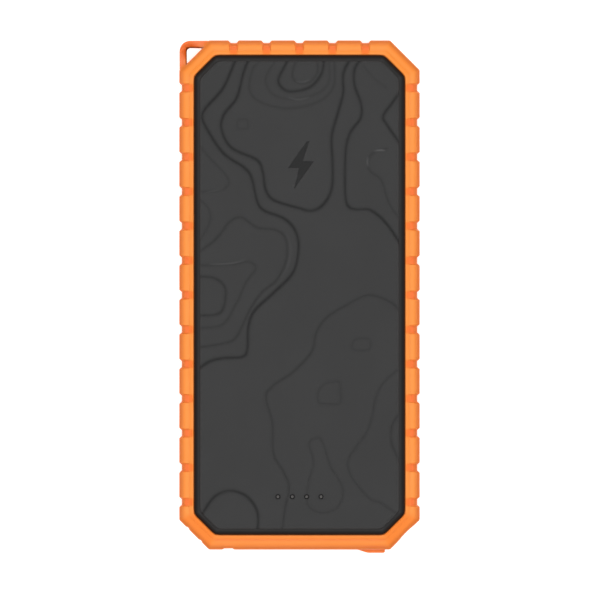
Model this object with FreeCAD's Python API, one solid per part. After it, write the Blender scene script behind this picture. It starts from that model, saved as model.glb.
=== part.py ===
"""Rugged pocket power bank, lying on its back. Millimetres.

+Z is up, out of the front panel. +Y runs along the body towards the lanyard loop, and the ports are at -Y.
The origin is the middle of the 85 x 180 outline, on the plane that the body lies on.
Every piece is a separate solid, written to parts/NODE.step.
"""

import FreeCAD
import Part
import os
from math import cos, pi, sin, sqrt, tan

# Whole body
WIDTH = 85.0
LENGTH = 180.0
THICKNESS = 27.0
CORNER_LEG = 10.5
MID_Z = THICKNESS / 2
PARTING_Z = 11.0

# Insets are distances in from the body's outline
NOTCH_DEPTH = 0.92
SHELL_INSET = 3.2
OPENING_INSET = 5.05
CAVITY_INSET = 5.2
PANEL_INSET = 7.3

# Bumper
BLOCK_ROUND = 1.4
OUTER_CORNER_ROUND = 1.0
INNER_CORNER_ROUND = 3.0
NOTCH_MOUTH = 4.0
NOTCH_FLOOR = 1.8
NOTCH_FACE_DEPTH = 0.7
NOTCH_REACH = 3.4
SIDE_NOTCHES = 13
SIDE_PITCH = 12.2
END_NOTCHES = 5
END_PITCH = 11.65
RIM_DROP = 0.4
RIM_INSET = 3.7
SHOULDER_DROP = 2.0
FACE_NOTCH_MOUTH = 3.4
FACE_NOTCH_FLOOR = 2.6
SCOOP_DEPTH = 0.27
SCOOP_MOUTH = 10.0
SCOOP_FLOOR = 3.0
SCOOP_SHIFT = 0.9
CORNER_GROOVE_OFFSET = 3.2
CORNER_GROOVE_WIDTH = 2.0
CORNER_GROOVE_DEPTH = 0.28

# Lanyard loop, in the corner at -X +Y
LOOP_LOW_Z = 8.5
LOOP_HIGH_Z = 18.5
LOOP_ROOT = 1.5
LOOP_HAUNCH_LOW_Z = 2.2
LOOP_HAUNCH_REACH = 2.6
LOOP_CORNER_ROUND = 3.8
LOOP_BAR = 2.6
LOOP_HOLE_LEG = 5.8
LOOP_HOLE_ROUND = 0.5
LOOP_HOLE_CORNER_ROUND = 1.2

# Shell, panels and the stack of heights from the nearest face of the body
WALL = 2.0
PLATE = 1.6
PANEL_TOP_DROP = 0.8
PANEL_THICKNESS = 1.3
PANEL_EDGE_ROUND = 0.4
BAND_DROP = 1.7
PANEL_BASE_DROP = PANEL_TOP_DROP + PANEL_THICKNESS
CAVITY_DROP = PANEL_BASE_DROP + PLATE
SEAL_INSET = 3.8
SEAL_SIZE = 1.0
SEAL_PROUD = 0.2

# Case screws, from the back into brass inserts in the front cover
CASE_SCREWS = [(26.0, 79.0), (31.5, -39.5), (31.5, -74.0)]
BOSS_R = 3.0
SCREW_R = 1.25
SCREW_HOLE_R = 1.4
SCREW_TIP_Z = 15.5
HEAD_R = 2.3
HEAD_POCKET_R = 2.55
HEAD_SEAT_Z = 2.5
HEAD_HEIGHT = 1.5
DRIVE_R = 1.2
DRIVE_DEPTH = 0.8
INSERT_R = 2.0
INSERT_LENGTH = 5.0

# Port end
FLAP_LEFT = -22.9
FLAP_RIGHT = 30.2
FLAP_HEIGHT = 20.0
FLAP_FACE_INSET = 0.15
FLAP_THICKNESS = 2.8
FLAP_GAP = 0.3
FLAP_EDGE_ROUND = 0.6
TAB_RAMP_LEFT = 20.0
TAB_RAMP_RIGHT = 24.4
TAB_RIGHT = 30.2
TAB_PROUD = 1.38
TAB_HEIGHT = 13.0
GRIP_GROOVES = 5
GRIP_PITCH = 2.0
GRIP_R = 0.3
WEB_LEFT = -27.4
WEB_INSET = 0.5
WEB_THICKNESS = 0.9
WEB_HEIGHT = 19.2
HINGE_DIP_DEPTH = 0.4
RECESS_LEFT = -21.6
RECESS_RIGHT = 25.6
RECESS_HEIGHT = 11.0
RECESS_DEPTH = 1.5
RECESS_ROUND = 2.0
PLUG_CLEARANCE = 0.3
PLUG_WALL = 1.2
BEZEL_MARGIN = 1.0
BEZEL_DEPTH = 3.5
FLANGE_MARGIN = 1.5
GASKET_THICKNESS = 0.5

# Sockets
USB_A_CENTRES = [-0.05, 16.55]
USB_A_WIDTH = 13.1
USB_A_HEIGHT = 5.7
USB_A_LENGTH = 14.0
USB_A_WALL = 0.3
USB_A_ROUND = 0.6
USB_A_TONGUE = (11.1, 1.84, 8.6)
USB_A_TONGUE_RISE = 1.05
USB_A_BLOCK = 4.6
USB_A_CONTACTS = 4
USB_A_CONTACT = (1.0, 7.4, 0.15)
USB_A_CONTACT_PITCH = 2.3
USB_C_CENTRE = -14.6
USB_C_WIDTH = 8.94
USB_C_HEIGHT = 3.2
USB_C_LENGTH = 8.6
USB_C_WALL = 0.3
USB_C_TONGUE = (6.6, 0.7, 4.6)
USB_C_BLOCK = 2.6
USB_C_CONTACTS = 8
USB_C_CONTACT = (0.3, 3.4, 0.08)
USB_C_CONTACT_PITCH = 0.75
SOCKET_CLEARANCE = 0.1

# Main board
BOARD_HALF_WIDTH = 30.5
BOARD_LOW_Y = -82.0
BOARD_HIGH_Y = -43.0
BOARD_LOW_Z = 16.4
BOARD_THICKNESS = 1.6
BOARD_POSTS = [(26.0, -47.0), (26.0, -79.0)]
POST_R = 2.5
BOARD_SCREW_R = 1.0
BOARD_SCREW_LENGTH = 6.0
BOARD_HEAD_R = 1.8
BOARD_HEAD_HEIGHT = 1.3

# Cells
CELL_WIDTH = 68.0
CELL_LOW_Y = -36.3
CELL_HIGH_Y = 75.7
CELL_THICKNESS = 8.8
CELL_ROUND = 2.0
CELL_SEAL_LENGTH = 4.0
CELL_SEAL_THICKNESS = 0.4
FACE_FOAM = 0.6
MIDDLE_FOAM = 0.8
FOAM_MARGIN = 5.0
TAB_X = 20.0
TAB_WIDTH = 7.0
TAB_THICKNESS = 0.3
LEAD_R = 0.9
LEAD_BEND = 4.0
LEAD_RUN = 13.5
TAB_LENGTH = 3.0
TAB_LAP = 2.0

# Ribs that hold the sides of the cells
RIB_COUNT = 5
RIB_PITCH = 21.0
RIB_START = 14.0
RIB_THICKNESS = 1.2
RIB_GAP = 0.15

# Charge lights
LED_COUNT = 4
LED_PITCH = 5.08
LED_Y = -71.3
LED_SIZE = (1.6, 0.8, 0.6)
PIPE_R = 0.9
PIPE_TIP_R = 0.5
PIPE_GAP = 0.2
PIPE_TIP_DROP = 0.95
WINDOW_R = 0.55
WINDOW_MOUTH_R = 1.0
WINDOW_MOUTH_DEPTH = 0.45
GUIDE_BAR = (18.0, 1.8, 1.5)

# Parts on the board: x, y, size along x, size along y
CHIPS = [(-3.5, -56.0, 6.0, 6.0), (4.5, -57.0, 5.0, 5.0), (-22.5, -66.0, 4.0, 5.0), (18.0, -66.5, 4.0, 4.0)]
CHIP_HEIGHT = 0.9
INDUCTOR_PLACES = [(-14.0, -58.0), (14.0, -58.0)]
INDUCTOR_SIZE = (7.0, 7.0, 4.0)
INDUCTOR_ROUND = 1.2
CAPACITOR_COUNT = 4
CAPACITOR_PITCH = 8.0
CAPACITOR_Y = -48.0
CAPACITOR_R = 3.15
CAPACITOR_HEIGHT = 7.0

# Power button, in the block between two side notches
BUTTON_Y = -5.5 * SIDE_PITCH
BUTTON_SIZE_Y = 6.4
BUTTON_SIZE_Z = 9.0
BUTTON_ROUND = 1.6
BUTTON_GAP = 0.3
BUTTON_SINK = 0.2
BUTTON_THICKNESS = 2.2
BUTTON_STEM_R = 1.5
STEM_HOLE_R = 1.7
BUTTON_SEAL_R = 2.6
BUTTON_SEAL_BORE_R = 1.6
SWITCH_SIZE = (4.0, 6.0, 3.5)
SWITCH_Z = BOARD_LOW_Z - SWITCH_SIZE[2] / 2
SWITCH_SOCKET_DEPTH = 1.6
PLUNGER_R = 1.1
PLUNGER_CLEARANCE = 0.1
PLUNGER_PROUD = 2.0
PLUNGER_HIDDEN = 0.8
CONTACT_GAP = 0.05

FRONT_Z = THICKNESS - CAVITY_DROP
REAR_Z = CAVITY_DROP
END_FACE_Y = -(LENGTH / 2 - SHELL_INSET)
SOCKET_MOUTH_Y = END_FACE_Y + RECESS_DEPTH
BOARD_TOP_Z = BOARD_LOW_Z + BOARD_THICKNESS


def point(x, y, z=0.0):
    return FreeCAD.Vector(x, y, z)


def box(low, high):
    size = [b - a for a, b in zip(low, high)]
    return Part.makeBox(*size, point(*low))


def centred_box(centre, size):
    low = [c - s / 2 for c, s in zip(centre, size)]
    return Part.makeBox(*size, point(*low))


def cylinder(radius, x, y, low_z, high_z):
    return Part.makeCylinder(radius, high_z - low_z, point(x, y, low_z))


def cone(low_r, high_r, x, y, low_z, high_z):
    return Part.makeCone(low_r, high_r, high_z - low_z, point(x, y, low_z))


def rounded_wire(corners, radii):
    """A closed wire through the corners, each turned by a tangent arc of its own radius."""
    count = len(corners)
    ends = []
    for i in range(count):
        here = corners[i]
        before = (corners[i - 1] - here).normalize()
        after = (corners[(i + 1) % count] - here).normalize()
        half_angle = before.getAngle(after) / 2
        reach = radii[i] / tan(half_angle)
        bisector = (before + after).normalize()
        centre = here + bisector * (radii[i] / sin(half_angle))
        middle = centre - bisector * radii[i]
        ends.append((here + before * reach, middle, here + after * reach))
    edges = []
    for i in range(count):
        start, middle, end = ends[i]
        if radii[i] > 0:
            edges.append(Part.Arc(start, middle, end).toShape())
        edges.append(Part.LineSegment(end, ends[(i + 1) % count][0]).toShape())
    return Part.Wire(edges)


def prism(corners, radii, direction):
    return Part.Face(rounded_wire(corners, radii)).extrude(direction)


def outline_corners(inset, z):
    """The body's eight-sided outline, moved in by the inset, anticlockwise from the right side's foot."""
    half_x = WIDTH / 2 - inset
    half_y = LENGTH / 2 - inset
    leg = CORNER_LEG - inset * (2 - sqrt(2))
    plan = [
        (half_x, leg - half_y), (half_x, half_y - leg), (half_x - leg, half_y), (leg - half_x, half_y),
        (-half_x, half_y - leg), (-half_x, leg - half_y), (leg - half_x, -half_y), (half_x - leg, -half_y),
    ]
    return [point(x, y, z) for x, y in plan]


def slab(inset, low_z, high_z, corner_round):
    corners = outline_corners(inset, low_z)
    return prism(corners, [corner_round] * len(corners), point(0, 0, high_z - low_z))


def rounded_bar(low, high, radius):
    """A bar along Y whose XZ section is a rectangle with round corners."""
    plan = [(low[0], low[2]), (high[0], low[2]), (high[0], high[2]), (low[0], high[2])]
    corners = [point(x, low[1], z) for x, z in plan]
    return prism(corners, [radius] * 4, point(0, high[1] - low[1], 0))


def flipped(shape):
    """The same shape on the other face of the body."""
    return shape.mirror(point(0, 0, MID_Z), point(0, 0, 1))


def both_sides(places):
    return [(side * x, y) for x, y in places for side in (-1, 1)]


def fused(shapes):
    return shapes[0].multiFuse(shapes[1:]).removeSplitter() if len(shapes) > 1 else shapes[0]


def edges_at_height(shape, z):
    tolerance = 1e-6
    return [
        e for e in shape.Edges
        if abs(e.BoundBox.ZMin - z) < tolerance and abs(e.BoundBox.ZMax - z) < tolerance
    ]


# Bumper


def notch_cutter():
    """Cuts one notch in an edge that lies along X and faces +Y."""
    beyond = 1.0
    slope = (NOTCH_MOUTH - NOTCH_FLOOR) / 2
    mouth = NOTCH_MOUTH / 2 + slope * beyond / NOTCH_DEPTH
    floor = NOTCH_FLOOR / 2
    plan = [(-mouth, beyond), (mouth, beyond), (floor, -NOTCH_DEPTH), (-floor, -NOTCH_DEPTH)]
    side = prism([point(x, y, -beyond) for x, y in plan], [0] * 4, point(0, 0, THICKNESS + 2 * beyond))
    face_slope = (FACE_NOTCH_MOUTH - FACE_NOTCH_FLOOR) / 2
    face_mouth = FACE_NOTCH_MOUTH / 2 + face_slope * beyond / NOTCH_FACE_DEPTH
    floor_z = THICKNESS - NOTCH_FACE_DEPTH
    section = [
        (-face_mouth, THICKNESS + beyond), (face_mouth, THICKNESS + beyond),
        (FACE_NOTCH_FLOOR / 2, floor_z), (-FACE_NOTCH_FLOOR / 2, floor_z),
    ]
    corners = [point(x, -NOTCH_REACH, z) for x, z in section]
    front = prism(corners, [0] * 4, point(0, NOTCH_REACH + beyond, 0))
    return fused([side, front, flipped(front)])


def placed(shape, x, y, turn):
    placement = FreeCAD.Placement(point(x, y), FreeCAD.Rotation(point(0, 0, 1), turn))
    return shape.transformed(placement.toMatrix())


def notches():
    cutter = notch_cutter()
    cuts = []
    for i in range(SIDE_NOTCHES):
        y = (i - (SIDE_NOTCHES - 1) / 2) * SIDE_PITCH
        cuts.append(placed(cutter, WIDTH / 2, y, -90))
        cuts.append(placed(cutter, -WIDTH / 2, y, 90))
    for i in range(END_NOTCHES):
        x = (i - (END_NOTCHES - 1) / 2) * END_PITCH
        cuts.append(placed(cutter, x, LENGTH / 2, 0))
    return cuts


def upright_groove(mouth, floor, depth):
    """Cuts a groove along Z in an edge that lies along X and faces +Y."""
    slope = (mouth - floor) / 2
    wide = mouth / 2 + slope / depth
    plan = [(-wide, 1.0), (wide, 1.0), (floor / 2, -depth), (-floor / 2, -depth)]
    return prism([point(x, y, -1) for x, y in plan], [0] * 4, point(0, 0, THICKNESS + 2))


def corner_cuts():
    """A thumb scoop in the corner beside the pull tab, and two grooves in the corner beside the hinge."""
    x = WIDTH / 2 - CORNER_LEG / 2
    y = CORNER_LEG / 2 - LENGTH / 2
    slide = SCOOP_SHIFT * sqrt(0.5)
    cuts = [placed(upright_groove(SCOOP_MOUTH, SCOOP_FLOOR, SCOOP_DEPTH), x + slide, y + slide, -135)]
    groove = upright_groove(CORNER_GROOVE_WIDTH, 0.1, CORNER_GROOVE_DEPTH)
    shift = CORNER_GROOVE_OFFSET * sqrt(0.5)
    for side in (-1, 1):
        cuts.append(placed(groove, side * shift - x, y - side * shift, 135))
    return cuts


def hinge_dip():
    """The hollow over the flap's hinge, carried up and down across the whole end."""
    middle = (WEB_LEFT + FLAP_LEFT) / 2
    mouth = FLAP_LEFT - WEB_LEFT
    groove = upright_groove(mouth, mouth - 2 * HINGE_DIP_DEPTH, HINGE_DIP_DEPTH)
    return placed(groove, middle, -LENGTH / 2, 180)


def loop_haunch(plan):
    """Swells the loop's two ends up and down to meet the full height of the corner."""
    low = point(0, -LOOP_ROOT, LOOP_HAUNCH_LOW_Z)
    profile = [
        low, point(0, 0, LOOP_HAUNCH_LOW_Z), point(0, LOOP_HAUNCH_REACH, LOOP_LOW_Z),
        point(0, LOOP_HAUNCH_REACH, LOOP_HIGH_Z), point(0, 0, THICKNESS - LOOP_HAUNCH_LOW_Z),
        point(0, -LOOP_ROOT, THICKNESS - LOOP_HAUNCH_LOW_Z),
    ]
    ridge = prism(profile, [0] * 6, point(2 * CORNER_LEG, 0, 0))
    ridge.translate(point(-CORNER_LEG, 0, 0))
    middle = (CORNER_LEG - WIDTH) / 2, (LENGTH - CORNER_LEG) / 2
    tall = prism([point(x, y, 0) for x, y in plan], [0, LOOP_CORNER_ROUND, 0, 0, 0], point(0, 0, THICKNESS))
    return placed(ridge, *middle, 45).common(tall)


def lanyard_loop():
    left = -WIDTH / 2
    top = LENGTH / 2
    root = CORNER_LEG + LOOP_ROOT * sqrt(2)
    plan = [
        (left, top - root), (left, top), (left + root, top),
        (left + root, top - LOOP_ROOT), (left + LOOP_ROOT, top - root),
    ]
    corners = [point(x, y, LOOP_LOW_Z) for x, y in plan]
    plate = prism(corners, [0, LOOP_CORNER_ROUND, 0, 0, 0], point(0, 0, LOOP_HIGH_Z - LOOP_LOW_Z))
    return fused([plate, loop_haunch(plan)])


def lanyard_hole():
    left = LOOP_BAR - WIDTH / 2
    top = LENGTH / 2 - LOOP_BAR
    plan = [(left, top), (left, top - LOOP_HOLE_LEG), (left + LOOP_HOLE_LEG, top)]
    corners = [point(x, y, -1) for x, y in plan]
    radii = [LOOP_HOLE_CORNER_ROUND, LOOP_HOLE_ROUND, LOOP_HOLE_ROUND]
    return prism(corners, radii, point(0, 0, THICKNESS + 2))


def button_opening():
    half_y = BUTTON_SIZE_Y / 2 + BUTTON_GAP
    half_z = BUTTON_SIZE_Z / 2 + BUTTON_GAP
    plan = [(-half_y, -half_z), (half_y, -half_z), (half_y, half_z), (-half_y, half_z)]
    start = WIDTH / 2 - SHELL_INSET - 1
    corners = [point(start, BUTTON_Y + y, MID_Z + z) for y, z in plan]
    return prism(corners, [BUTTON_ROUND + BUTTON_GAP] * 4, point(SHELL_INSET + 2, 0, 0))


def flap_opening():
    half_z = FLAP_HEIGHT / 2 + FLAP_GAP
    low = (WEB_LEFT, -LENGTH / 2 - 1, MID_Z - half_z)
    high = (FLAP_RIGHT + FLAP_GAP, END_FACE_Y, MID_Z + half_z)
    return box(low, high)


def bumper():
    body = slab(0, 0, THICKNESS, OUTER_CORNER_ROUND)
    body = body.makeFillet(BLOCK_ROUND, edges_at_height(body, 0) + edges_at_height(body, THICKNESS))
    body = body.cut(notches() + corner_cuts() + [hinge_dip()])
    body = fused([body, lanyard_loop()])
    rim = slab(RIM_INSET, THICKNESS - RIM_DROP, THICKNESS + 1, INNER_CORNER_ROUND)
    channel = slab(SHELL_INSET, SHOULDER_DROP, THICKNESS - SHOULDER_DROP, OUTER_CORNER_ROUND)
    window = slab(OPENING_INSET, -1, THICKNESS + 1, INNER_CORNER_ROUND)
    cuts = [rim, flipped(rim), channel, window, lanyard_hole(), button_opening(), flap_opening()]
    return body.cut(cuts)


# Shell


def cover_skin():
    """The outer form of a cover on the front, down to the middle of the body, before it is hollowed."""
    wall = slab(SHELL_INSET, MID_Z, THICKNESS - SHOULDER_DROP, OUTER_CORNER_ROUND)
    band = slab(OPENING_INSET, MID_Z, THICKNESS - BAND_DROP, INNER_CORNER_ROUND)
    pocket = slab(PANEL_INSET, THICKNESS - PANEL_BASE_DROP, THICKNESS, INNER_CORNER_ROUND)
    return wall.fuse(band).cut(pocket)


def shell_solid(low_z, high_z):
    """Both skins as one block, cut to the heights asked for."""
    front = cover_skin()
    whole = fused([front, flipped(front)])
    return whole.common(box((-WIDTH, -LENGTH, low_z), (WIDTH, LENGTH, high_z)))


def cavity():
    return slab(CAVITY_INSET, REAR_Z, FRONT_Z, OUTER_CORNER_ROUND)


def seal_ring():
    low = PARTING_Z - SEAL_SIZE + SEAL_PROUD
    high = PARTING_Z + SEAL_PROUD
    ring = slab(SEAL_INSET, low, high, OUTER_CORNER_ROUND).cut(
        slab(SEAL_INSET + SEAL_SIZE, low, high, OUTER_CORNER_ROUND)
    )
    return ring.cut(bezel_body())


def cell_ribs(low_z, high_z):
    """Short ribs that hold the sides of the cells."""
    inner = CELL_WIDTH / 2 + RIB_GAP
    outer = WIDTH / 2 - CAVITY_INSET + 0.5
    ribs = []
    for i in range(RIB_COUNT):
        y = CELL_LOW_Y + RIB_START + i * RIB_PITCH
        for side in (-1, 1):
            left, right = sorted((side * inner, side * outer))
            ribs.append(box((left, y, low_z), (right, y + RIB_THICKNESS, high_z)))
    return ribs


def along_x(radius, start_x, length):
    """A rod along X, on the line of the button's stem and the switch."""
    return Part.makeCylinder(radius, length, point(start_x, BUTTON_Y, SWITCH_Z), point(1, 0, 0))


def stem_hole():
    return along_x(STEM_HOLE_R, WIDTH / 2 - CAVITY_INSET - 1, WALL + 2)


def button_seal_pocket():
    return along_x(BUTTON_SEAL_R, WIDTH / 2 - SHELL_INSET - SEAL_SIZE, SEAL_SIZE)


def front_cover():
    body = shell_solid(PARTING_Z, THICKNESS).cut(cavity())
    posts = [cylinder(BOSS_R, x, y, PARTING_Z, FRONT_Z) for x, y in both_sides(CASE_SCREWS)]
    posts += [cylinder(POST_R, x, y, BOARD_TOP_Z, FRONT_Z) for x, y in both_sides(BOARD_POSTS)]
    body = fused([body] + posts + cell_ribs(PARTING_Z + 0.2, FRONT_Z))
    cuts = [bezel_body(), bezel_flange(), port_gasket_solid(), seal_ring(), stem_hole(), button_seal_pocket()]
    cuts += [cylinder(PIPE_R + 0.1, x, LED_Y, FRONT_Z - 1, THICKNESS) for x in led_places()]
    for x, y in both_sides(CASE_SCREWS):
        cuts.append(cylinder(INSERT_R, x, y, PARTING_Z, PARTING_Z + INSERT_LENGTH))
    for x, y in both_sides(BOARD_POSTS):
        top = BOARD_LOW_Z + BOARD_SCREW_LENGTH
        cuts.append(cylinder(BOARD_SCREW_R, x, y, BOARD_TOP_Z - 1, top))
    return body.cut(cuts)


def rear_cover():
    body = shell_solid(0, PARTING_Z).cut(cavity())
    posts = [cylinder(BOSS_R, x, y, REAR_Z, PARTING_Z) for x, y in both_sides(CASE_SCREWS)]
    body = fused([body] + posts + cell_ribs(REAR_Z, PARTING_Z - 0.2))
    cuts = [bezel_body(), bezel_flange(), port_gasket_solid(), seal_ring()]
    for x, y in both_sides(CASE_SCREWS):
        cuts.append(cylinder(SCREW_HOLE_R, x, y, 0, PARTING_Z + 1))
        cuts.append(cylinder(HEAD_POCKET_R, x, y, 0, HEAD_SEAT_Z))
    return body.cut(cuts)


def panel():
    """A plate with a rounded top edge, as it lies in the front cover's pocket."""
    top = THICKNESS - PANEL_TOP_DROP
    body = slab(PANEL_INSET, top - PANEL_THICKNESS, top, INNER_CORNER_ROUND)
    return body.makeFillet(PANEL_EDGE_ROUND, edges_at_height(body, top))


def front_panel():
    top = THICKNESS - PANEL_TOP_DROP
    cuts = []
    for x in led_places():
        cuts.append(cylinder(WINDOW_R, x, LED_Y, FRONT_Z, THICKNESS))
        cuts.append(cone(WINDOW_R, WINDOW_MOUTH_R, x, LED_Y, top - WINDOW_MOUTH_DEPTH, top))
    return panel().cut(cuts)


def rear_panel():
    holes = [cylinder(HEAD_POCKET_R, x, y, 0, CAVITY_DROP) for x, y in both_sides(CASE_SCREWS)]
    return flipped(panel()).cut(holes)


def six_lobe(radius, x, y, low_z, high_z):
    """The star-shaped drive of a screw head."""
    lobes = [cylinder(radius * 0.72, x, y, low_z, high_z)]
    for i in range(6):
        angle = i * pi / 3
        lobe_x = x + radius * 0.78 * cos(angle)
        lobe_y = y + radius * 0.78 * sin(angle)
        lobes.append(cylinder(radius * 0.22, lobe_x, lobe_y, low_z, high_z))
    return fused(lobes)


def case_screw(x, y):
    head_low = HEAD_SEAT_Z - HEAD_HEIGHT
    head = cylinder(HEAD_R, x, y, head_low, HEAD_SEAT_Z)
    head = head.makeFillet(0.4, edges_at_height(head, head_low))
    shank = cylinder(SCREW_R, x, y, HEAD_SEAT_Z - 0.1, SCREW_TIP_Z)
    drive = six_lobe(DRIVE_R, x, y, head_low - 1, head_low + DRIVE_DEPTH)
    return head.fuse(shank).cut(drive)


def thread_insert(x, y):
    sleeve = cylinder(INSERT_R, x, y, PARTING_Z, PARTING_Z + INSERT_LENGTH)
    return sleeve.cut(cylinder(SCREW_R, x, y, PARTING_Z, PARTING_Z + INSERT_LENGTH))


# Port end


def port_bar(margin, low_y, high_y, radius):
    """The recess's rounded rectangle, grown by a margin and carried from one Y to another."""
    half_z = RECESS_HEIGHT / 2 + margin
    low = (RECESS_LEFT - margin, low_y, MID_Z - half_z)
    high = (RECESS_RIGHT + margin, high_y, MID_Z + half_z)
    return rounded_bar(low, high, radius)


def bezel_body():
    return port_bar(BEZEL_MARGIN, END_FACE_Y, END_FACE_Y + WALL + 0.5, RECESS_ROUND + BEZEL_MARGIN)


def port_gasket_solid():
    start = END_FACE_Y + WALL
    margin = BEZEL_MARGIN + FLANGE_MARGIN
    return port_bar(margin, start, start + GASKET_THICKNESS, RECESS_ROUND + margin)


def bezel_flange():
    start = END_FACE_Y + WALL + GASKET_THICKNESS
    margin = BEZEL_MARGIN + FLANGE_MARGIN
    return port_bar(margin, start, END_FACE_Y + BEZEL_DEPTH, RECESS_ROUND + margin)


def usb_a_block(centre, low_y, high_y, growth, radius=USB_A_ROUND):
    half_x = USB_A_WIDTH / 2 + growth
    half_z = USB_A_HEIGHT / 2 + growth
    low = (centre - half_x, low_y, MID_Z - half_z)
    return rounded_bar(low, (centre + half_x, high_y, MID_Z + half_z), radius)


def usb_c_block(low_y, high_y, growth):
    half_x = USB_C_WIDTH / 2 + growth
    half_z = USB_C_HEIGHT / 2 + growth
    low = (USB_C_CENTRE - half_x, low_y, MID_Z - half_z)
    high = (USB_C_CENTRE + half_x, high_y, MID_Z + half_z)
    return rounded_bar(low, high, half_z - 0.05)


def port_bezel():
    body = fused([bezel_body(), bezel_flange()])
    recess = port_bar(0, END_FACE_Y - 1, SOCKET_MOUTH_Y, RECESS_ROUND)
    far = END_FACE_Y + BEZEL_DEPTH + 1
    cuts = [recess, usb_c_block(END_FACE_Y, far, SOCKET_CLEARANCE)]
    cuts += [usb_a_block(x, END_FACE_Y, far, SOCKET_CLEARANCE) for x in USB_A_CENTRES]
    return body.cut(cuts)


def port_gasket():
    return port_gasket_solid().cut(bezel_body())


def usb_a_shell(centre):
    end = SOCKET_MOUTH_Y + USB_A_LENGTH
    inside = USB_A_ROUND - USB_A_WALL
    bore = usb_a_block(centre, SOCKET_MOUTH_Y - 1, end + 1, -USB_A_WALL, inside)
    return usb_a_block(centre, SOCKET_MOUTH_Y, end, 0).cut(bore)


def usb_a_tongue(centre):
    width, height, length = USB_A_TONGUE
    end = SOCKET_MOUTH_Y + USB_A_LENGTH
    block = usb_a_block(centre, end - USB_A_BLOCK, end, -USB_A_WALL, USB_A_ROUND - USB_A_WALL)
    middle_z = MID_Z + USB_A_TONGUE_RISE
    low = (centre - width / 2, end - USB_A_BLOCK - length, middle_z - height / 2)
    high = (centre + width / 2, end - USB_A_BLOCK + 0.5, middle_z + height / 2)
    tongue = box(low, high)
    lead_in = [e for e in tongue.Edges if abs(e.BoundBox.YMax - low[1]) < 1e-6 and e.BoundBox.XLength > 1]
    return fused([block, tongue.makeChamfer(0.4, lead_in)])


def usb_a_contacts(centre):
    width, length, height = USB_A_CONTACT
    top = MID_Z + USB_A_TONGUE_RISE - USB_A_TONGUE[1] / 2
    start = SOCKET_MOUTH_Y + USB_A_LENGTH - USB_A_BLOCK - length
    strips = []
    for i in range(USB_A_CONTACTS):
        x = centre + (i - (USB_A_CONTACTS - 1) / 2) * USB_A_CONTACT_PITCH
        strips.append(box((x - width / 2, start, top - height), (x + width / 2, start + length, top)))
    return Part.Compound(strips)


def usb_c_bore(low_y, high_y):
    return usb_c_block(low_y, high_y, -USB_C_WALL)


def usb_c_shell():
    end = SOCKET_MOUTH_Y + USB_C_LENGTH
    outer = usb_c_block(SOCKET_MOUTH_Y, end, 0)
    return outer.cut(usb_c_bore(SOCKET_MOUTH_Y - 1, end + 1))


def usb_c_tongue():
    width, height, length = USB_C_TONGUE
    end = SOCKET_MOUTH_Y + USB_C_LENGTH
    start = end - USB_C_BLOCK
    block = usb_c_bore(start, end)
    low = (USB_C_CENTRE - width / 2, start - length, MID_Z - height / 2)
    high = (USB_C_CENTRE + width / 2, start + 0.5, MID_Z + height / 2)
    return fused([block, box(low, high)])


def usb_c_contacts():
    width, length, height = USB_C_CONTACT
    start = SOCKET_MOUTH_Y + USB_C_LENGTH - USB_C_BLOCK - length
    strips = []
    for side in (-1, 1):
        middle = MID_Z + side * (USB_C_TONGUE[1] + height) / 2
        for i in range(USB_C_CONTACTS):
            x = USB_C_CENTRE + (i - (USB_C_CONTACTS - 1) / 2) * USB_C_CONTACT_PITCH
            strips.append(centred_box((x, start + length / 2, middle), (width, length, height)))
    return Part.Compound(strips)


def pull_tab(outer_y):
    tip_y = outer_y - TAB_PROUD
    root_y = outer_y + 0.5
    plan = [
        (TAB_RAMP_LEFT, root_y), (TAB_RAMP_LEFT, outer_y), (TAB_RAMP_RIGHT, tip_y),
        (TAB_RIGHT, tip_y), (TAB_RIGHT, root_y),
    ]
    low_z = MID_Z - TAB_HEIGHT / 2
    tab = prism([point(x, y, low_z) for x, y in plan], [0, 0, 1.0, 0.4, 0], point(0, 0, TAB_HEIGHT))
    grooves = []
    for i in range(GRIP_GROOVES):
        start = point(TAB_RAMP_RIGHT, tip_y, MID_Z + (i - (GRIP_GROOVES - 1) / 2) * GRIP_PITCH)
        grooves.append(Part.makeCylinder(GRIP_R, TAB_RIGHT - TAB_RAMP_RIGHT + 1, start, point(1, 0, 0)))
    return tab.cut(grooves)


def port_flap():
    outer_y = FLAP_FACE_INSET - LENGTH / 2
    half_z = FLAP_HEIGHT / 2
    low = (FLAP_LEFT, outer_y, MID_Z - half_z)
    high = (FLAP_RIGHT, outer_y + FLAP_THICKNESS, MID_Z + half_z)
    plate = rounded_bar(low, high, FLAP_EDGE_ROUND)
    start = outer_y + FLAP_THICKNESS - 0.5
    end = SOCKET_MOUTH_Y - PLUG_CLEARANCE
    plug = port_bar(-PLUG_CLEARANCE, start, end, RECESS_ROUND - PLUG_CLEARANCE)
    hollow = port_bar(-PLUG_CLEARANCE - PLUG_WALL, start + 0.5, end + 1, 0.7)
    return fused([plate, plug.cut(hollow), pull_tab(outer_y)])


def flap_hinge_web():
    outer_y = WEB_INSET - LENGTH / 2
    half_z = WEB_HEIGHT / 2
    return box((WEB_LEFT, outer_y, MID_Z - half_z), (FLAP_LEFT, outer_y + WEB_THICKNESS, MID_Z + half_z))


# Board and what is on it


def main_board():
    low = (-BOARD_HALF_WIDTH, BOARD_LOW_Y, BOARD_LOW_Z)
    body = box(low, (BOARD_HALF_WIDTH, BOARD_HIGH_Y, BOARD_TOP_Z))
    cuts = [cylinder(BOARD_SCREW_R + 0.2, x, y, 0, THICKNESS) for x, y in both_sides(BOARD_POSTS)]
    cuts += [cylinder(BOSS_R + 0.5, x, y, 0, THICKNESS) for x, y in both_sides(CASE_SCREWS)]
    return body.cut(cuts)


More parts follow.
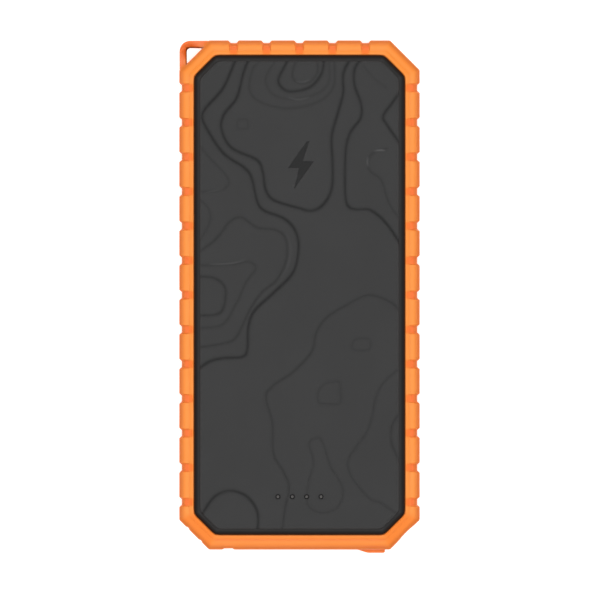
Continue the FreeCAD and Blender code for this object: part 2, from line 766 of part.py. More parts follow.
def board_screw(x, y):
    head = cylinder(BOARD_HEAD_R, x, y, BOARD_LOW_Z - BOARD_HEAD_HEIGHT, BOARD_LOW_Z)
    shank = cylinder(BOARD_SCREW_R, x, y, BOARD_LOW_Z - 0.1, BOARD_LOW_Z + BOARD_SCREW_LENGTH)
    slot_z = BOARD_LOW_Z - BOARD_HEAD_HEIGHT
    slots = [centred_box((x, y, slot_z), (2.2, 0.5, 1.0)), centred_box((x, y, slot_z), (0.5, 2.2, 1.0))]
    return head.fuse(shank).cut(slots)


def power_inductors():
    coils = []
    height = INDUCTOR_SIZE[2]
    for x, y in INDUCTOR_PLACES:
        body = centred_box((x, y, BOARD_TOP_Z + height / 2), INDUCTOR_SIZE)
        upright = [e for e in body.Edges if e.BoundBox.ZLength > height / 2]
        coils.append(body.makeFillet(INDUCTOR_ROUND, upright))
    return Part.Compound(coils)


def controller_chips():
    middle_z = BOARD_TOP_Z + CHIP_HEIGHT / 2
    chips = [centred_box((x, y, middle_z), (wide, deep, CHIP_HEIGHT)) for x, y, wide, deep in CHIPS]
    return Part.Compound(chips)


def board_capacitors():
    cans = []
    low_z = BOARD_LOW_Z - CAPACITOR_HEIGHT
    for i in range(CAPACITOR_COUNT):
        x = (i - (CAPACITOR_COUNT - 1) / 2) * CAPACITOR_PITCH
        can = cylinder(CAPACITOR_R, x, CAPACITOR_Y, low_z, BOARD_LOW_Z)
        cans.append(can.makeFillet(0.5, edges_at_height(can, low_z)))
    return Part.Compound(cans)


def led_places():
    return [(i - (LED_COUNT - 1) / 2) * LED_PITCH for i in range(LED_COUNT)]


def charge_leds():
    centre_z = BOARD_TOP_Z + LED_SIZE[2] / 2
    return Part.Compound([centred_box((x, LED_Y, centre_z), LED_SIZE) for x in led_places()])


def light_guide():
    foot = BOARD_TOP_Z + LED_SIZE[2] + PIPE_GAP
    shoulder = THICKNESS - PANEL_BASE_DROP - 0.1
    pieces = [centred_box((0, LED_Y, (foot + FRONT_Z) / 2), GUIDE_BAR)]
    for x in led_places():
        pieces.append(cylinder(PIPE_R, x, LED_Y, foot, shoulder))
        pieces.append(cylinder(PIPE_TIP_R, x, LED_Y, shoulder - 0.1, THICKNESS - PIPE_TIP_DROP))
    return fused(pieces)


# Cells


def cell_heights():
    lower = REAR_Z + FACE_FOAM
    upper = lower + CELL_THICKNESS + MIDDLE_FOAM
    return lower, upper


def cell(low_z, seal_z):
    half = CELL_WIDTH / 2
    start = CELL_LOW_Y + CELL_SEAL_LENGTH
    body = box((-half, start, low_z), (half, CELL_HIGH_Y, low_z + CELL_THICKNESS))
    long_edges = [e for e in body.Edges if e.BoundBox.YLength > 50]
    body = body.makeFillet(CELL_ROUND, long_edges)
    seal = box((1 - half, CELL_LOW_Y, seal_z), (half - 1, start + 1, seal_z + CELL_SEAL_THICKNESS))
    return fused([body, seal])


def seal_heights():
    """The height of each cell's sealed edge: the lower at mid thickness, the upper level with the board."""
    lower, _ = cell_heights()
    return lower + CELL_THICKNESS / 2, BOARD_TOP_Z


def foam(low_z, thickness):
    half = CELL_WIDTH / 2 - FOAM_MARGIN
    low_y = CELL_LOW_Y + CELL_SEAL_LENGTH + FOAM_MARGIN
    return box((-half, low_y, low_z), (half, CELL_HIGH_Y - FOAM_MARGIN, low_z + thickness))


def cell_tabs():
    lower_z, upper_z = seal_heights()
    half = TAB_WIDTH / 2
    strips = []
    for x in (-TAB_X, TAB_X):
        strips.append(box((x - half, lead_start(), lower_z), (x + half, CELL_LOW_Y, lower_z + TAB_THICKNESS)))
        low = (x - half, BOARD_HIGH_Y - TAB_LAP, upper_z)
        strips.append(box(low, (x + half, CELL_LOW_Y, upper_z + TAB_THICKNESS)))
    return Part.Compound(strips)


def lead_start():
    return CELL_LOW_Y - TAB_LENGTH


def battery_lead(x):
    """A short lead from a lower tab to the board: out along Y, one bend, then straight up."""
    lower_z, _ = seal_heights()
    centre_z = lower_z + TAB_THICKNESS / 2
    start = point(x, lead_start(), centre_z)
    corner_y = lead_start() - LEAD_RUN
    bend_start = point(x, corner_y + LEAD_BEND, centre_z)
    bend_end = point(x, corner_y, centre_z + LEAD_BEND)
    slant = LEAD_BEND * (1 - sqrt(0.5))
    bend_middle = point(x, corner_y + slant, centre_z + slant)
    path = Part.Wire([
        Part.LineSegment(start, bend_start).toShape(),
        Part.Arc(bend_start, bend_middle, bend_end).toShape(),
        Part.LineSegment(bend_end, point(x, corner_y, BOARD_LOW_Z)).toShape(),
    ])
    section = Part.Wire(Part.makeCircle(LEAD_R, start, point(0, -1, 0)))
    return path.makePipeShell([section], True, False)


# Power button


def button_cap():
    outer_x = WIDTH / 2 - BUTTON_SINK
    inner_x = outer_x - BUTTON_THICKNESS
    half_y = BUTTON_SIZE_Y / 2
    half_z = BUTTON_SIZE_Z / 2
    plan = [(-half_y, -half_z), (half_y, -half_z), (half_y, half_z), (-half_y, half_z)]
    corners = [point(inner_x, BUTTON_Y + y, MID_Z + z) for y, z in plan]
    pad = prism(corners, [BUTTON_ROUND] * 4, point(BUTTON_THICKNESS, 0, 0))
    rim = [e for e in pad.Edges if e.BoundBox.XMin > outer_x - 1e-6]
    pad = pad.makeFillet(0.4, rim)
    stem_start = plunger_tip() + CONTACT_GAP
    return fused([pad, along_x(BUTTON_STEM_R, stem_start, inner_x - stem_start + 0.2)])


def button_seal():
    bore = along_x(BUTTON_SEAL_BORE_R, WIDTH / 2 - SHELL_INSET - SEAL_SIZE, SEAL_SIZE)
    return button_seal_pocket().cut(bore)


def plunger_tip():
    return BOARD_HALF_WIDTH + PLUNGER_PROUD


def switch_body():
    centre = (BOARD_HALF_WIDTH - SWITCH_SIZE[0] / 2, BUTTON_Y, SWITCH_Z)
    start = BOARD_HALF_WIDTH - SWITCH_SOCKET_DEPTH
    socket = along_x(PLUNGER_R + PLUNGER_CLEARANCE, start, SWITCH_SOCKET_DEPTH)
    return centred_box(centre, SWITCH_SIZE).cut(socket)


def switch_plunger():
    start = BOARD_HALF_WIDTH - PLUNGER_HIDDEN
    return along_x(PLUNGER_R, start, plunger_tip() - start)


def all_nodes():
    lower_cell, upper_cell = cell_heights()
    lower_seal, upper_seal = seal_heights()
    nodes = {
        "bumper": bumper(),
        "front_cover": front_cover(),
        "rear_cover": rear_cover(),
        "front_panel": front_panel(),
        "rear_panel": rear_panel(),
        "case_seal": seal_ring(),
        "case_screws": Part.Compound([case_screw(x, y) for x, y in both_sides(CASE_SCREWS)]),
        "thread_inserts": Part.Compound([thread_insert(x, y) for x, y in both_sides(CASE_SCREWS)]),
        "port_flap": port_flap(),
        "flap_hinge_web": flap_hinge_web(),
        "port_bezel": port_bezel(),
        "port_gasket": port_gasket(),
        "usb_c_shell": usb_c_shell(),
        "usb_c_tongue": usb_c_tongue(),
        "usb_c_contacts": usb_c_contacts(),
        "main_board": main_board(),
        "board_screws": Part.Compound([board_screw(x, y) for x, y in both_sides(BOARD_POSTS)]),
        "power_inductors": power_inductors(),
        "controller_chips": controller_chips(),
        "board_capacitors": board_capacitors(),
        "charge_leds": charge_leds(),
        "light_guide": light_guide(),
        "cell_lower": cell(lower_cell, lower_seal),
        "cell_upper": cell(upper_cell, upper_seal),
        "foam_rear": foam(REAR_Z, FACE_FOAM),
        "foam_middle": foam(lower_cell + CELL_THICKNESS, MIDDLE_FOAM),
        "foam_front": foam(FRONT_Z - FACE_FOAM, FACE_FOAM),
        "cell_tabs": cell_tabs(),
        "battery_lead_positive": battery_lead(TAB_X),
        "battery_lead_negative": battery_lead(-TAB_X),
        "button_cap": button_cap(),
        "button_seal": button_seal(),
        "switch_body": switch_body(),
        "switch_plunger": switch_plunger(),
    }
    for number, centre in enumerate(USB_A_CENTRES, 1):
        nodes[f"usb_a_shell_{number}"] = usb_a_shell(centre)
        nodes[f"usb_a_tongue_{number}"] = usb_a_tongue(centre)
        nodes[f"usb_a_contacts_{number}"] = usb_a_contacts(centre)
    return nodes


os.makedirs("parts", exist_ok=True)
for name, shape in all_nodes().items():
    print(name, shape.isValid(), len(shape.Solids), round(shape.Volume, 1))
    shape.exportStep(f"parts/{name}.step")
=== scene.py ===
from math import acos, cos, pi, radians, sin, sqrt, tan

import bmesh
import bpy
import numpy as np
from mathutils.geometry import delaunay_2d_cdt
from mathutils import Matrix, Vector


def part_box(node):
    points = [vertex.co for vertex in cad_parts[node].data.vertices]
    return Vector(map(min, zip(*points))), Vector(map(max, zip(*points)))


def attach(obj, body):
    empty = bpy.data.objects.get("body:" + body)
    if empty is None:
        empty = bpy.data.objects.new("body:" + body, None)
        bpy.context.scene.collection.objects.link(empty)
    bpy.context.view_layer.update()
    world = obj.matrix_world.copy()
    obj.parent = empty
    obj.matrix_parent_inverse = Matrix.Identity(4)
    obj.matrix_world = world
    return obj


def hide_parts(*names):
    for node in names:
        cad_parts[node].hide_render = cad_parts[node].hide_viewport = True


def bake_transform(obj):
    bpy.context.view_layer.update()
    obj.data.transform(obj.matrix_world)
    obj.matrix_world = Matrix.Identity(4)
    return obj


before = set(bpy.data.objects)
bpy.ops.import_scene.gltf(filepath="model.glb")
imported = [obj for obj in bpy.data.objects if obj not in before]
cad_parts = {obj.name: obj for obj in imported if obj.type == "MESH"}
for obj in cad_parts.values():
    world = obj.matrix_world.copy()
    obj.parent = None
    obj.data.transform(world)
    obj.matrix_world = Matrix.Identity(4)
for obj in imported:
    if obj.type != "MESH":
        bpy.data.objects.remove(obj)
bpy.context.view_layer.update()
mm = 0.001
print("frame loaded:", len(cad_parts), "nodes")

# The case, in millimetres. Insets are measured in from the bumper's outline
bumperLow, bumperHigh = (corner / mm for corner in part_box("bumper"))
case = {
    "halfWidth": bumperHigh.x,
    "halfLength": bumperHigh.y,
    "height": bumperHigh.z,
    "cornerLeg": 10.5,
    "openingInset": 5.05,
    "panelInset": 7.3,
}
midHeight = case["height"] / 2


# Small tools for meshes. Sizes are in millimetres until the mesh is made

def addPiece(name, vertices, faces):
    mesh = bpy.data.meshes.new(name)
    mesh.from_pydata([tuple(v) for v in np.asarray(vertices, float) * mm], [], faces)
    mesh.update()
    piece = bpy.data.objects.new(name, mesh)
    bpy.context.scene.collection.objects.link(piece)
    return piece


def readSpots(piece):
    spots = np.zeros(len(piece.data.vertices) * 3)
    piece.data.vertices.foreach_get("co", spots)
    return spots.reshape(-1, 3).T / mm


def storeValues(piece, fields):
    # One number at each point, under each name
    for name, values in fields.items():
        piece.data.attributes.new(name, "FLOAT", "POINT").data.foreach_set("value", values)


def setFinish(piece, finish):
    # The piece has this one finish on all its faces
    piece.data.materials.clear()
    piece.data.materials.append(finishes[finish])
    piece.data.polygons.foreach_set("material_index", np.zeros(len(piece.data.polygons), np.int32))


def faceOutwards(piece):
    shape = bmesh.new()
    shape.from_mesh(piece.data)
    bmesh.ops.recalc_face_normals(shape, faces=shape.faces)
    shape.to_mesh(piece.data)
    shape.free()
    return piece


def softenShading(piece, angle):
    piece.data.shade_smooth()
    piece.data.set_sharp_from_angle(angle=radians(angle))


def loft(name, loops, closed=False):
    # Joins rings of equally many points with quads, and caps both ends unless the loft closes on itself
    rings, count = len(loops), len(loops[0])
    faces = []
    for i in range(rings if closed else rings - 1):
        a, b = i * count, (i + 1) % rings * count
        for j in range(count):
            k = (j + 1) % count
            faces.append((a + j, a + k, b + k, b + j))
    if not closed:
        faces.append(tuple(range(count)))
        faces.append(tuple(reversed(range((rings - 1) * count, rings * count))))
    return faceOutwards(addPiece(name, np.concatenate(loops), faces))


def roundedRectangle(halfWide, halfTall, radius, steps=6):
    points = []
    for k, (sx, sy) in enumerate([(1, 1), (-1, 1), (-1, -1), (1, -1)]):
        for a in np.linspace(0, pi / 2, steps + 1):
            angle = a + k * pi / 2
            points.append((sx * (halfWide - radius) + radius * cos(angle),
                           sy * (halfTall - radius) + radius * sin(angle)))
    return np.array(points)


def upright(ring, middle, y):
    # An outline stood up across the body, at one place along it
    return np.array([[middle + u, y, midHeight + v] for u, v in ring])


def smooth(low, high, value):
    t = np.clip((value - low) / (high - low), 0, 1)
    return t * t * (3 - 2 * t)


def carve(target, cutters, operation):
    # Applies boolean modifiers and gives the target the finished mesh
    for cutter in cutters:
        modifier = target.modifiers.new("carve", "BOOLEAN")
        modifier.object = cutter
        modifier.operation = operation
        modifier.solver = "EXACT"
    return applyModifiers(target, cutters)


def applyModifiers(target, helpers=()):
    bpy.context.view_layer.update()
    graph = bpy.context.evaluated_depsgraph_get()
    finished = bpy.data.meshes.new_from_object(target.evaluated_get(graph))
    target.modifiers.clear()
    target.data = finished
    for helper in helpers:
        bpy.data.objects.remove(helper)
    return target


# Node trees. A Wire is a socket that can be used in sums, and a Bench adds nodes to one tree

class Wire:
    def __init__(self, bench, socket):
        self.bench, self.socket = bench, socket

    def other(self, name):
        return Wire(self.bench, self.socket.node.outputs[name])

    def maths(self, operation, *values):
        return self.bench.sum(operation, self, *values)

    def __add__(self, value):
        return self.maths("ADD", value)

    __radd__ = __add__

    def __sub__(self, value):
        return self.maths("SUBTRACT", value)

    def __rsub__(self, value):
        return self.bench.sum("SUBTRACT", value, self)

    def __mul__(self, value):
        return self.maths("MULTIPLY", value)

    __rmul__ = __mul__

    def __truediv__(self, value):
        return self.maths("DIVIDE", value)


class Bench:
    def __init__(self, tree):
        self.tree = tree

    def node(self, kind, settings=None, values=None, out=0):
        made = self.tree.nodes.new(kind)
        for key, value in (settings or {}).items():
            setattr(made, key, value)
        for key, value in (values or {}).items():
            if isinstance(value, Wire):
                self.tree.links.new(value.socket, made.inputs[key])
            else:
                made.inputs[key].default_value = value
        return Wire(self, made.outputs[out]) if made.outputs else made

    def sum(self, operation, *values):
        return self.node("ShaderNodeMath", {"operation": operation}, dict(enumerate(values)))

    def ease(self, value, low, high):
        ranges = {"Value": value, "From Min": low, "From Max": high}
        return self.node("ShaderNodeMapRange", {"interpolation_type": "SMOOTHSTEP"}, ranges)

    def blendColour(self, share, first, second):
        return self.node("ShaderNodeMix", {"data_type": "RGBA"}, {0: share, 6: first, 7: second}, out=2)

    def noise(self, place, size, detail=2.0, roughness=0.5):
        values = {"Vector": place, "Scale": 1 / (size * mm), "Detail": detail, "Roughness": roughness}
        return self.node("ShaderNodeTexNoise", values=values)

    def bump(self, height, depth):
        values = {"Height": height, "Distance": depth * mm, "Strength": 1.0}
        return self.node("ShaderNodeBump", values=values)

    def stored(self, *names):
        return [self.node("ShaderNodeAttribute", {"attribute_name": name}).other("Fac") for name in names]


def rgb(colour):
    return (*colour, 1.0)


def newMaterial(name):
    # An empty material, its bench, and the place of each point on the object
    material = bpy.data.materials.new(name)
    material.use_nodes = True
    material.node_tree.nodes.clear()
    bench = Bench(material.node_tree)
    return material, bench, bench.node("ShaderNodeTexCoord").other("Object")


def surface(bench, **values):
    named = {key.replace("_", " "): value for key, value in values.items()}
    shader = bench.node("ShaderNodeBsdfPrincipled", values=named)
    bench.node("ShaderNodeOutputMaterial", values={"Surface": shader})


# Finishes

# Rubber colours: pale is a painted highlight on the crown; deep is the deeper orange of painted shade, edge
# a darker painted shade, and shade the near-black painted shadow on the hole's walls and the inner lip
rubberLook = {
    "colour": (0.965, 0.258, 0.012), "pale": (0.99, 0.315, 0.060), "deep": (0.95, 0.150, 0.018),
    "edge": (0.72, 0.155, 0.006), "shade": (0.20, 0.050, 0.006), "roughness": 0.47, "specular": 0.45,
    "blotch": 14.0, "scuff": 2.2, "grain": 0.16, "grainDepth": 0.012,
}


def rubberFinish(name, look, addedShade=0.0):
    # The extra share turns the whole finish towards the deeper orange: a painted-shade copy of the rubber
    material, bench, place = newMaterial(name)
    blotch = bench.ease(bench.noise(place, look["blotch"], 3), 0.3, 0.7)
    scuff = bench.ease(bench.noise(place, look["scuff"], 5, 0.65), 0.45, 0.75)
    grain = bench.noise(place, look["grain"], 2)
    # Painted light from the stored values: painted shade as a deeper orange, a darker painted shade on
    # edges that turns to near-black painted shadow over 1, and a paler painted highlight on the crown
    notch, edge, crownHighlight = bench.stored("notch", "edge", "crownHighlight")
    colour = bench.blendColour(crownHighlight * 0.8 + blotch * 0.15 + 0.08, rgb(look["colour"]), rgb(look["pale"]))
    colour = bench.blendColour(notch + addedShade, colour, rgb(look["deep"]))
    colour = bench.blendColour(edge, colour, rgb(look["edge"]))
    colour = bench.blendColour(edge - 1, colour, rgb(look["shade"]))
    surface(bench, Base_Color=colour, Roughness=look["roughness"] + scuff * 0.09,
            Normal=bench.bump(grain, look["grainDepth"]), Specular_IOR_Level=look["specular"])
    return material


def insetField(bench, place):
    # How far in from the body's outline a place is, in metres
    split = bench.node("ShaderNodeSeparateXYZ", values={0: place})
    x, y = split.other("X").maths("ABSOLUTE"), split.other("Y").maths("ABSOLUTE")
    reach = (case["halfWidth"] + case["halfLength"] - case["cornerLeg"]) * mm
    inset = (case["halfWidth"] * mm - x).maths("MINIMUM", case["halfLength"] * mm - y)
    return inset.maths("MINIMUM", (reach - x - y) * 0.7071)


# Plastics: low is the colour of painted shade and of the bolt mark's dark print
plasticLooks = {
    "panelPlastic": {"colour": (0.0310, 0.0310, 0.0312), "low": (0.0060, 0.0060, 0.0062), "roughness": 0.50,
                     "grain": 0.22, "grainDepth": 0.010},
    # The cover's band takes painted shade next to the bumper, and a brown painted bounce light from the
    # orange rubber at the rim
    "shellPlastic": {"colour": (0.0390, 0.0388, 0.0388), "low": (0.0065, 0.0062, 0.0060), "roughness": 0.52,
                     "specular": 0.20, "grain": 0.20, "grainDepth": 0.010, "shaded": (5.8, 7.3),
                     "rim": (5.3, 6.3), "rimGlow": (0.022, 0.0070, 0.0012)},
    "bezelPlastic": {"colour": (0.0120, 0.0120, 0.0125), "low": (0.0080, 0.0080, 0.0080), "roughness": 0.42,
                     "grain": 0.14, "grainDepth": 0.006},
    "connectorPlastic": {"colour": (0.0100, 0.0100, 0.0105), "low": (0.0070, 0.0070, 0.0070),
                         "roughness": 0.30, "grain": 0.10, "grainDepth": 0.003},
}


def plasticFinish(name, look):
    material, bench, place = newMaterial(name)
    grain = bench.noise(place, look["grain"], 3, 0.6)
    cloud = bench.ease(bench.noise(place, 18.0, 4), 0.3, 0.7)
    shadeAndPrint, gleam = bench.stored("shadeAndPrint", "gleam")
    # The cover's painted shade grows towards the bumper, by the distance in from the outline
    if "shaded" in look:
        inset = insetField(bench, place)
        start, end = (edge * mm for edge in look["shaded"])
        shadeAndPrint = 1 - bench.ease(inset, start, end)
    # pale is random tone from the cloud; bright is the colour of the painted highlight
    pale, bright = (tuple(c * gain for c in look["colour"]) for gain in (1.10, 2.8))
    colour = bench.blendColour(cloud * 0.6, rgb(look["colour"]), rgb(pale))
    # Painted shade, and the bolt mark's dark print
    colour = bench.blendColour(shadeAndPrint, colour, rgb(look["low"]))
    # Painted highlight
    colour = bench.blendColour(gleam, colour, rgb(bright))
    # Painted bounce light from the orange rubber: brown next to the rim
    if "shaded" in look:
        start, end = (edge * mm for edge in look["rim"])
        colour = bench.blendColour(1 - bench.ease(inset, start, end), colour, rgb(look["rimGlow"]))
    roughness = look["roughness"] + grain * 0.10 + cloud * 0.04
    surface(bench, Base_Color=colour, Roughness=roughness, Normal=bench.bump(grain, look["grainDepth"]),
            Specular_IOR_Level=look.get("specular", 0.35))
    return material


# Metals: colour, roughness, and the size of the brushed grain along each axis
metalLooks = {
    "connectorSteel": ((0.62, 0.62, 0.63), 0.24, (6.0, 0.12, 6.0)),
    "screwSteel": ((0.085, 0.085, 0.09), 0.36, (0.5, 0.5, 0.5)),
    "insertBrass": ((0.78, 0.58, 0.28), 0.30, (0.8, 0.8, 0.1)),
    "contactGold": ((0.90, 0.66, 0.28), 0.20, (0.2, 2.0, 0.2)),
    "capacitorCan": ((0.74, 0.74, 0.75), 0.28, (0.3, 0.3, 3.0)),
    "tabNickel": ((0.66, 0.65, 0.61), 0.26, (0.3, 3.0, 0.3)),
    "cellPouch": ((0.60, 0.61, 0.63), 0.40, (2.5, 2.5, 2.5)),
}


def metalFinish(name, look):
    material, bench, place = newMaterial(name)
    bright, roughness, brush = look
    scale = tuple(1 / (size * mm) for size in brush)
    stretched = bench.node("ShaderNodeMapping", values={"Vector": place, "Scale": scale})
    grain = bench.node("ShaderNodeTexNoise", values={"Vector": stretched, "Scale": 1.0, "Detail": 4.0})
    dark = tuple(c * 0.82 for c in bright)
    colour = bench.blendColour(bench.ease(grain, 0.35, 0.65), rgb(dark), rgb(bright))
    surface(bench, Base_Color=colour, Roughness=roughness + grain * 0.12, Metallic=1.0,
            Normal=bench.bump(grain, 0.004))
    return material


# Rubbers, foams and plastics out of sight: colour, roughness and grain size
tintedLooks = {
    "sealRubber": ((0.020, 0.020, 0.021), 0.62, 0.3),
    "foamGrey": ((0.065, 0.065, 0.068), 0.90, 0.5),
    "circuitBoard": ((0.012, 0.090, 0.038), 0.32, 1.6),
    "chipBlack": ((0.018, 0.018, 0.018), 0.48, 0.12),
    "inductorGrey": ((0.085, 0.085, 0.088), 0.60, 0.25),
    "leadRed": ((0.50, 0.020, 0.018), 0.38, 0.4),
    "leadBlack": ((0.015, 0.015, 0.015), 0.38, 0.4),
    "plungerPlastic": ((0.42, 0.030, 0.028), 0.35, 0.2),
    "ledLens": ((0.80, 0.78, 0.66), 0.25, 0.2),
}


def tintedFinish(name, look):
    material, bench, place = newMaterial(name)
    bright, roughness, size = look
    grain = bench.noise(place, size, 3)
    dark = tuple(c * 0.75 for c in bright)
    colour = bench.blendColour(bench.ease(grain, 0.3, 0.7), rgb(dark), rgb(bright))
    surface(bench, Base_Color=colour, Roughness=roughness + grain * 0.08, Normal=bench.bump(grain, 0.01))
    return material


pipeLook = {"colour": (0.075, 0.070, 0.070), "haze": (0.11, 0.105, 0.10), "roughness": 0.22}


def pipeFinish(name, look):
    material, bench, place = newMaterial(name)
    haze = bench.noise(place, 0.5, 2)
    colour = bench.blendColour(haze, rgb(look["colour"]), rgb(look["haze"]))
    surface(bench, Base_Color=colour, Roughness=look["roughness"])
    return material


# The flap's rubber is the same rubber painted darker and redder all over as painted shade
finishes = {"rubber": rubberFinish("rubber", rubberLook),
            "flapRubber": rubberFinish("flapRubber", rubberLook, 0.45),
            "lightPipe": pipeFinish("lightPipe", pipeLook)}
families = ((plasticFinish, plasticLooks), (metalFinish, metalLooks), (tintedFinish, tintedLooks))
for makeFinish, looks in families:
    for name, look in looks.items():
        finishes[name] = makeFinish(name, look)
print("finishes made:", len(finishes))


# Bumper: an eight-sided ring, swept here, notched by a node tree, then cut for the flap and the button

bumper = {
    "channelInset": 3.25, "channelDrop": 1.98, "shoulder": 2.3, "shoulderDrop": 1.7, "rimDrop": 0.35,
    "outerRound": 1.0, "innerRound": 3.0, "mouthRound": 1.6,
    "sidePitch": 12.2, "sideCount": 13, "endPitch": 11.65, "endCount": 5,
    "notchDepth": 0.92, "notchFloor": 0.85, "notchMouth": 1.95,
    "faceDepth": 0.75, "faceFloor": 1.28, "faceMouth": 1.66, "faceReach": 3.35,
    "faceFade": (-0.8, 0.6), "faceLift": (10.4, 12.6), "sideReach": 75.7,
    "grooveShift": 3.2, "grooveHalf": 1.05, "grooveDepth": 0.28,
    "scoopHalf": 5.4, "scoopShift": 0.9, "scoopDepth": 0.27,
    "hingeLeft": -27.4, "hingeRight": -22.9, "hingeDip": 0.40,
}
loop = {
    "half": 5.0, "rootHalf": 12.7, "haunch": 4.6, "sink": 2.6, "bar": 2.6, "cornerRound": 3.8,
    "holeRound": 1.25, "tipRound": 0.9, "edgeRound": 1.0, "buried": 1.6, "hollow": 0.3,
}
# The notch tree's inputs, and the bumper's sizes that go into them
notchSizes = {"Depth": "notchDepth", "Floor": "notchFloor", "Mouth": "notchMouth",
              "Face Depth": "faceDepth", "Face Floor": "faceFloor", "Face Mouth": "faceMouth",
              "Reach": "faceReach"}


def ringProfile():
    # The front half of the section as (inset, height), from mid-wall to the middle of the channel
    top, reach, fall = case["height"], bumper["shoulder"], bumper["shoulderDrop"]
    points = [(0.0, midHeight), (0.0, 17.0), (0.0, 21.0), (0.0, 24.3)]
    for a in np.linspace(0, pi / 2, 11):
        points.append((reach * (1 - cos(a)), top - 0.1 - fall * (1 - sin(a))))
    inner, lip, low = case["openingInset"], 0.5, top - bumper["rimDrop"]
    for inset in (2.6, 2.9, 3.2, 3.4, 3.55, 3.7, 3.9, 4.15, 4.45):
        points.append((inset, top - 0.05 - (bumper["rimDrop"] - 0.05) * float(smooth(3.2, 3.9, inset))))
    for a in np.linspace(0, pi / 2, 7):
        points.append((inner - lip * (1 - sin(a)), low - lip * (1 - cos(a))))
    floor = top - bumper["channelDrop"]
    foot = floor + 0.3
    points += [(inner + 0.05, foot + 0.5), (inner + 0.17, foot + 0.06), (inner + 0.17, foot), (inner, foot)]
    points += [(inner, floor), (bumper["channelInset"], floor), (bumper["channelInset"], 19.0)]
    return points


def sideTable():
    # Each side: outward direction, running direction, distance from the centre, and fixed places along it
    slant = (case["halfWidth"] + case["halfLength"] - case["cornerLeg"]) / sqrt(2)
    far = [case["halfWidth"], slant, case["halfLength"], slant]
    near = [0.0, 0.45, 0.85, 1.05, 1.20, 1.30, 1.40, 1.50, 1.60, 1.70, 1.82, 1.97, 2.25]
    notches = {0: ("sidePitch", "sideCount"), 2: ("endPitch", "endCount"), 4: ("sidePitch", "sideCount")}
    groove = np.linspace(-1.2, 1.2, 13)
    extra = {
        1: [[-4.0, 0.0, 4.0]],
        3: [np.linspace(-5.2, 5.2, 25)],
        5: [groove - bumper["grooveShift"], groove + bumper["grooveShift"], [0.0]],
        6: [np.linspace(bumper["hingeLeft"] - 0.3, bumper["hingeRight"] + 0.3, 24),
            np.linspace(-20, 27, 14)],
        7: [np.linspace(-6.0, 6.0, 17)],
    }
    sides = []
    for k in range(8):
        angle = k * pi / 4
        out = np.array([cos(angle), sin(angle)])
        pitch, count = (bumper[key] for key in notches[k]) if k in notches else (0.0, 0)
        places = [place for group in extra.get(k, []) for place in group]
        for i in range(count):
            middle = (i - (count - 1) / 2) * pitch
            places += [middle + s * d for d in near for s in (-1, 1)]
            places += [middle + s * pitch * f for f in (0.28, 0.38) for s in (-1, 1)]
            if i:
                places.append(middle - pitch / 2)
        places = np.unique(np.round(places, 4))
        middle = 0.0
        if k % 2:
            middle = (case["halfLength"] - case["halfWidth"]) / sqrt(2) * (1 if k in (1, 5) else -1)
        limit = bumper["sideReach"] if k in (0, 4) else case["halfLength"]
        sides.append({"out": out, "run": np.array([-out[1], out[0]]), "far": far[k % 4], "pitch": pitch,
                      "count": count, "middle": middle, "places": places[abs(places) < limit]})
    return sides


def extraInset(k, along):
    # Shallow cuts that aren't notches: the loop's hollow, corner grooves, thumb scoop and hinge dip
    if k == 3:
        return loop["hollow"] * (1 - smooth(3.6, 5.0, abs(along)))
    if k == 5:
        gap = np.minimum(abs(along - bumper["grooveShift"]), abs(along + bumper["grooveShift"]))
        return bumper["grooveDepth"] * (1 - smooth(0.1, bumper["grooveHalf"], gap))
    if k == 7:
        gap = abs(along - bumper["scoopShift"]) / bumper["scoopHalf"]
        return bumper["scoopDepth"] * (1 - smooth(0.1, 1.0, gap))
    if k == 6:
        middle = (bumper["hingeLeft"] + bumper["hingeRight"]) / 2
        half = (bumper["hingeRight"] - bumper["hingeLeft"]) / 2
        return bumper["hingeDip"] * (1 - smooth(half - 0.9, half, abs(along - middle)))
    return along * 0.0


def ringAt(inset, height, sides):
    # One closed row of points round the body, with what the notch tree needs to know about each point
    turn = tan(pi / 8)
    share = min(inset / case["openingInset"], 1)
    radius = bumper["outerRound"] + (bumper["innerRound"] - bumper["outerRound"]) * share
    radius += bumper["mouthRound"] * float(smooth(3.3, 5.2, inset))
    rows = []
    for k, side in enumerate(sides):
        after, before = sides[(k + 1) % 8], sides[k - 1]
        far = side["far"] - inset
        high, low = (sign * ((other["far"] - inset - far * cos(pi / 4)) / sin(pi / 4) - radius * turn)
                     for sign, other in ((1, after), (-1, before)))
        room = (high - low) / 2 - 0.3
        places = side["places"] * min(1, room / abs(side["places"]).max()) + side["middle"]
        along = np.concatenate([np.linspace(low, places[0], 4)[:3], places,
                                np.linspace(places[-1], high, 4)[1:]])
        push = extraInset(k, along - side["middle"]) * (1 - smooth(0.0, bumper["channelInset"], inset))
        spots = (far - push)[:, None] * side["out"] + along[:, None] * side["run"]
        span = side["pitch"] * side["count"] / 2
        flat = np.ones(len(along))
        rows.append(np.column_stack([spots, flat * height, along, flat * side["pitch"], flat * span,
                                     flat * inset, flat[:, None] * side["out"]]))
        corner = far * side["out"] + (high + radius * turn) * side["run"]
        bisector = side["out"] + after["out"]
        centre = corner - bisector / np.dot(bisector, side["out"]) * radius
        for a in np.linspace(0, pi / 4, 7)[1:-1]:
            out = cos(a) * side["out"] + sin(a) * side["run"]
            rows.append(np.array([[*(centre + radius * out), height, 0, 0, 0, inset, *out]]))
    return np.concatenate(rows)


def newTree(name, inputs, output):
    # A geometry tree with named inputs and one output, with its bench and its inputs' node
    tree = bpy.data.node_groups.new(name, "GeometryNodeTree")
    for word, kind in inputs.items():
        tree.interface.new_socket(name=word, in_out="INPUT", socket_type="NodeSocket" + kind)
    tree.interface.new_socket(name=output, in_out="OUTPUT", socket_type="NodeSocketGeometry")
    bench = Bench(tree)
    return tree, bench, bench.node("NodeGroupInput")


